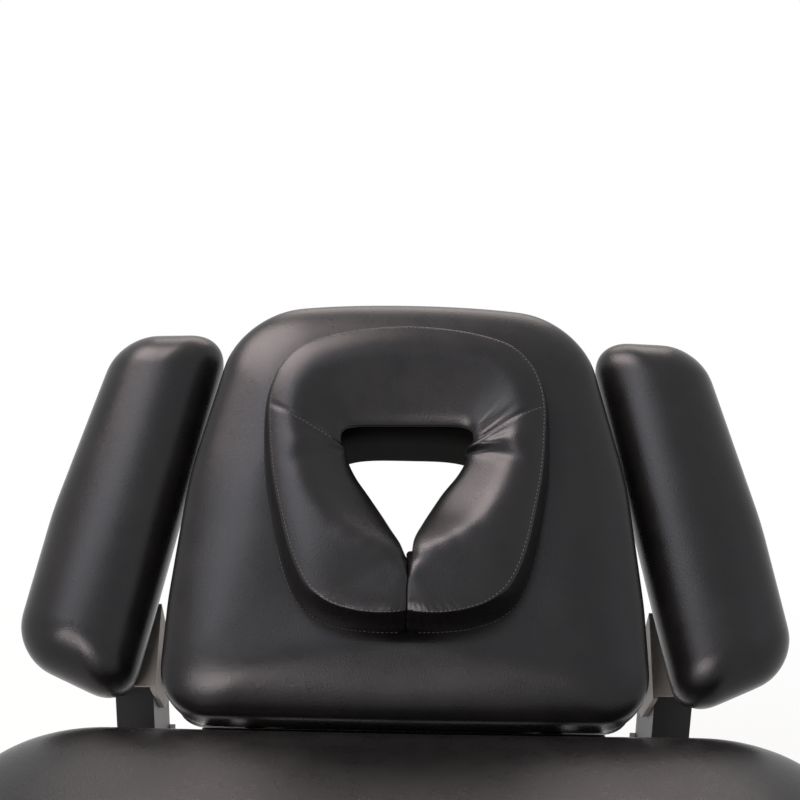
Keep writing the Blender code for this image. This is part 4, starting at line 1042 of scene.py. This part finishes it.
def turned(body, kind, profile, at, axis, steps=28):
    """A part turned on a lathe; the profile is given as radius and distance along the axis."""
    part = bmesh.new()
    verts = [part.verts.new((radius, 0.0, along)) for radius, along in profile]
    edges = [part.edges.new(pair) for pair in zip(verts, verts[1:])]
    bmesh.ops.spin(
        part, geom=verts + edges, angle=2 * math.pi, steps=steps, axis=(0, 0, 1), cent=(0, 0, 0),
        use_merge=True,
    )
    into_kit(body, kind, part, along_axis(at, axis))


def hex_head(body, at, axis, across, height):
    """A washer with a six-sided head on it."""
    rim = across * 0.66
    turned(body, "zinc", ((0.0, 0.0), (rim, 0.0), (rim, WASHER), (0.0, WASHER)), at, axis)
    part = bmesh.new()
    radius = across / math.sqrt(3)
    bmesh.ops.create_cone(part, cap_ends=True, segments=6, radius1=radius, radius2=radius, depth=height)
    bevel_edges(part, list(part.edges), across * 0.05, 2)
    lift = WASHER - SUNK + height / 2
    into_kit(body, "zinc", part, along_axis(at, axis) @ Matrix.Translation((0, 0, lift)))


def block(body, kind, low, high, edge, place=LEVEL):
    part = bmesh.new()
    low, high = Vector(low), Vector(high)
    size = Matrix.Diagonal((*(high - low), 1.0))
    bmesh.ops.create_cube(part, size=1.0, matrix=Matrix.Translation((low + high) / 2) @ size)
    bevel_edges(part, list(part.edges), edge, 2)
    into_kit(body, kind, part, place)


def lobed_knob(body, at, axis, radius, height, lobes=5):
    """A hand knob: a wavy outline pulled up, with its rims bevelled, on a zinc stud."""
    part = bmesh.new()
    rim = []
    for i in range(lobes * 12):
        turn = 2 * math.pi * i / (lobes * 12)
        reach = radius * (1 + 0.13 * math.cos(lobes * turn))
        rim.append(part.verts.new((reach * math.cos(turn), reach * math.sin(turn), 0.0)))
    base = part.faces.new(rim)
    pulled = bmesh.ops.extrude_face_region(part, geom=[base])["geom"]
    top = [item for item in pulled if isinstance(item, bmesh.types.BMVert)]
    bmesh.ops.translate(part, verts=top, vec=(0, 0, height))
    rims = [edge for edge in part.edges if len({round(v.co.z, 5) for v in edge.verts}) == 1]
    bevel_edges(part, rims, height * 0.18, 3)
    into_kit(body, "plastic", part, along_axis(at, axis) @ Matrix.Translation((0, 0, 0.008)))
    turned(body, "zinc", ((0.0, 0.0), (0.005, 0.0), (0.005, 0.0085), (0.0, 0.0085)), at, axis, 18)


print("hardware helpers ready")

# %% [markdown]
# ### Plugs
# Sawn tube ends are closed with pressed-in plastic plugs. A plug is a thin block with soft edges, a little
# smaller than the tube, set against its end.

# %% Plugs in the tube ends
PLUG = 0.0035
PLUG_IN = 0.001
PLUG_EDGE = 0.0012


def plug(body, low, high, axis):
    margin = Vector((PLUG_IN, PLUG_IN, PLUG_IN))
    margin[axis] = 0.0
    block(body, "plastic", Vector(low) + margin, Vector(high) - margin, PLUG_EDGE)


for node, body, width in (
    ("base_bar_head", "base", 0.060), ("base_bar_foot", "base", 0.060),
    ("cross_tube_head", "table_top", 0.040), ("cross_tube_foot", "table_top", 0.040),
):
    low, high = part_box(node)
    top = low.z + width * (0.5 if body == "base" else 1.0)
    for x in (low.x - PLUG, high.x):
        plug(body, (x, low.y, low.z), (x + PLUG, low.y + width, top), 0)
for label in ("left", "right"):
    low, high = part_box(f"arm_post_{label}")
    plug(f"arm_post_{label}", (low.x, low.y, low.z - PLUG), (high.x, high.y, low.z), 2)
    for node, body in ((f"base_rail_{label}", "base"), (f"top_rail_{label}", "table_top")):
        low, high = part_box(node)
        for y in (low.y - PLUG, high.y):
            plug(body, (low.x, y, low.z), (high.x, y + PLUG, high.z), 1)
print("plugs in", len(KITS), "kits")

# %% [markdown]
# ### Bolts, clips and seals
# Pivots end in a bolt head on a washer, the hinge pin in a clip, and each post's sleeve has a hand knob.
# Each is set on the end of the frame's own pin or tube. Turned beads ring the rubber feet.

# %% Bolts, clips and seals
RAIL_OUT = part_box("base_rail_right")[1].x
SHAFT_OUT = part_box("scissor_centre_shaft")[1].x
HINGE_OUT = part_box("hinge_pin")[1].x
SLEEVE_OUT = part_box("post_sleeve_right")[1].x
CLIP = ((0.0, 0.0), (0.0095, 0.0), (0.0100, 0.0006), (0.0100, 0.0018), (0.0092, 0.0024), (0.0, 0.0024))
base_pivot = middle("base_pivot_pin_right")
top_pivot = middle("top_pivot_shaft")
centre = middle("scissor_centre_shaft")
sleeve_z = middle("post_sleeve_right").z
post_y = middle("arm_post_right").y
for side in (-1, 1):
    out = (side, 0, 0)
    hex_head("base", (side * RAIL_OUT, base_pivot.y, base_pivot.z), out, 0.024, 0.009)
    hex_head("table_top", (side * RAIL_OUT, top_pivot.y, top_pivot.z), out, 0.024, 0.009)
    hex_head("inner_links", (side * SHAFT_OUT, centre.y, centre.z), out, 0.022, 0.007)
    turned("head_section", "zinc", CLIP, (side * HINGE_OUT, HINGE.y, HINGE.z), out)
    lobed_knob("table_top", (side * SLEEVE_OUT, post_y, sleeve_z), out, 0.019, 0.016)


def seal(body, tube, rod_radius, end):
    """The ring that keeps dirt out where a rod leaves an end of its tube, 0 the low one and 1 the high."""
    spot = middle(tube)
    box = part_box(tube)
    outer = box[1].x
    inner = rod_radius + 0.0012
    profile = (
        (inner, -0.004), (inner + 0.003, -0.0055), (outer - 0.001, -0.0045), (outer + 0.0022, -0.002),
        (outer + 0.0022, 0.010), (outer + 0.001, 0.012), (outer - 0.0005, 0.012),
    )
    turned(body, "plastic", profile, (spot.x, box[end].y, spot.z), (0, 1 - 2 * end, 0), 36)


seal("base", "lift_actuator_tube", 0.012, 0)
seal("table_top", "head_actuator_tube", 0.011, 1)
for node in ("head_left", "head_right", "foot_left", "foot_right"):
    spot = middle(f"rubber_foot_{node}")
    for z in (0.0045, 0.0115):
        bead = ((0.0236, z), (0.0252, z + 0.0012), (0.0252, z + 0.0026), (0.0236, z + 0.0038))
        turned("base", "rubber", bead, (spot.x, spot.y, 0.0), (0, 0, 1), 36)
print("kits", sorted(KITS))

# %% [markdown]
# ### Control box, inlet and pedals
# The control box is a moulded case: a lid that overlaps it, four screws and cooling ribs. The inlet has a
# raised rim and three pins. Rubber bars on the pedals give a shoe some grip; a ray finds the pedal's top.

# %% Control box
LID_OUT = 0.002
SCREW_PAN = ((0.0, 0.0018), (0.0018, 0.0016), (0.0034, 0.0008), (0.0038, 0.0), (0.0, 0.0))
RIB_COUNT = 11
RIB_PITCH = 0.012
RIB_HALF = 0.0018
box_low, box_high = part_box("control_box")
lid_low = (box_low.x - LID_OUT, box_low.y - LID_OUT, box_high.z - 0.008)
lid_high = (box_high.x + LID_OUT, box_high.y + LID_OUT, box_high.z + 0.0016)
block("base", "plastic", lid_low, lid_high, 0.0022)
for x in (box_low.x + 0.010, box_high.x - 0.010):
    for y in (box_low.y + 0.009, box_high.y - 0.009):
        turned("base", "zinc", SCREW_PAN, (x, y, box_high.z + 0.0015), (0, 0, 1), 18)
for i in range(RIB_COUNT):
    x = RIB_PITCH * (i - RIB_COUNT // 2)
    block(
        "base", "plastic", (x - RIB_HALF, box_high.y - 0.0005, box_low.z + 0.012),
        (x + RIB_HALF, box_high.y + 0.0014, box_high.z - 0.016), 0.0006,
    )
print("ribs", RIB_COUNT)

# %% Inlet and pedals
RIM_IN = 0.002
RIM_WIDTH = 0.0035
PIN_LOW = Vector((-0.001, -0.0035, -0.002))
PIN_HIGH = Vector((0.001, 0.0005, 0.002))
TREADS = 7
TREAD_HALF = 0.0022
in_low, in_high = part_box("mains_inlet")
inlet = middle("mains_inlet")
x_low, x_high = in_low.x + RIM_IN, in_high.x - RIM_IN
z_low, z_high = in_low.z + RIM_IN, in_high.z - RIM_IN
for low, high in (
    ((x_low, z_low), (x_high, z_low + RIM_WIDTH)), ((x_low, z_high - RIM_WIDTH), (x_high, z_high)),
    ((x_low, z_low), (x_low + RIM_WIDTH, z_high)), ((x_high - RIM_WIDTH, z_low), (x_high, z_high)),
):
    rim_low, rim_high = (low[0], in_low.y - 0.004, low[1]), (high[0], in_low.y + 0.0005, high[1])
    block("base", "plastic", rim_low, rim_high, 0.0008)
for x, z in ((-0.008, -0.002), (0.0, 0.004), (0.008, -0.002)):
    at = Vector((inlet.x + x, in_low.y, inlet.z + z))
    block("base", "zinc", at + PIN_LOW, at + PIN_HIGH, 0.0003)
for pedal in ("lift_pedal", "head_pedal"):
    low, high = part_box(pedal)
    tree = BVHTree.FromObject(NODES[pedal], bpy.context.evaluated_depsgraph_get())
    for y in np.linspace(low.y + 0.010, high.y - 0.010, TREADS):
        top = tree.ray_cast(Vector(((low.x + high.x) / 2, y, 0.3)), Vector((0, 0, -1)))[0]
        tread_low = (low.x + 0.008, y - TREAD_HALF, top.z - 0.0010)
        tread_high = (high.x - 0.008, y + TREAD_HALF, top.z + 0.0016)
        block(pedal, "rubber", tread_low, tread_high, 0.0009)
print("kits", len(KITS))

# %% [markdown]
# ### Staples
# Under the boards the turned-under vinyl is held by wire staples. A walk along a ring on the return strip
# says where each one goes and which way it lies.

# %% Staples under the boards
STAPLE_IN = 0.020
STAPLE_LOW = (-0.005, -0.00055, -0.00045)
STAPLE_HIGH = (0.005, 0.00055, 0.0003)


def staple_row(body, outline, middles, board, base, place, pitch):
    insets = [edge + STAPLE_IN for edge in board]
    ring = [Vector(p) for p in ray_ring(outline, middles, insets, base - RETURN_BELOW)]
    walked = 0.0
    for start, end in zip(ring, ring[1:] + ring[:1]):
        walked += (end - start).length
        if walked < pitch:
            continue
        walked = 0.0
        lay = place @ Matrix.Translation(start) @ (end - start).to_track_quat("X", "Z").to_matrix().to_4x4()
        block(body, "zinc", STAPLE_LOW, STAPLE_HIGH, 0.0002, lay)


staple_row("table_top", main_outline, main_middles, main_board, main_base, LEVEL, 0.045)
staple_row("head_section", head_outline, head_middles, head_board, HEAD_BASE, HEAD_PLACE, 0.040)
for (body, kind), bm in KITS.items():
    slot = SLOT_OF_KIT[kind]
    piece = new_piece(f"{kind}_parts_{body}", bm, FINISH_OF_SLOT[slot], body)
    piece.data.set_sharp_from_angle(angle=math.radians(32))
print("hardware pieces", len(KITS))
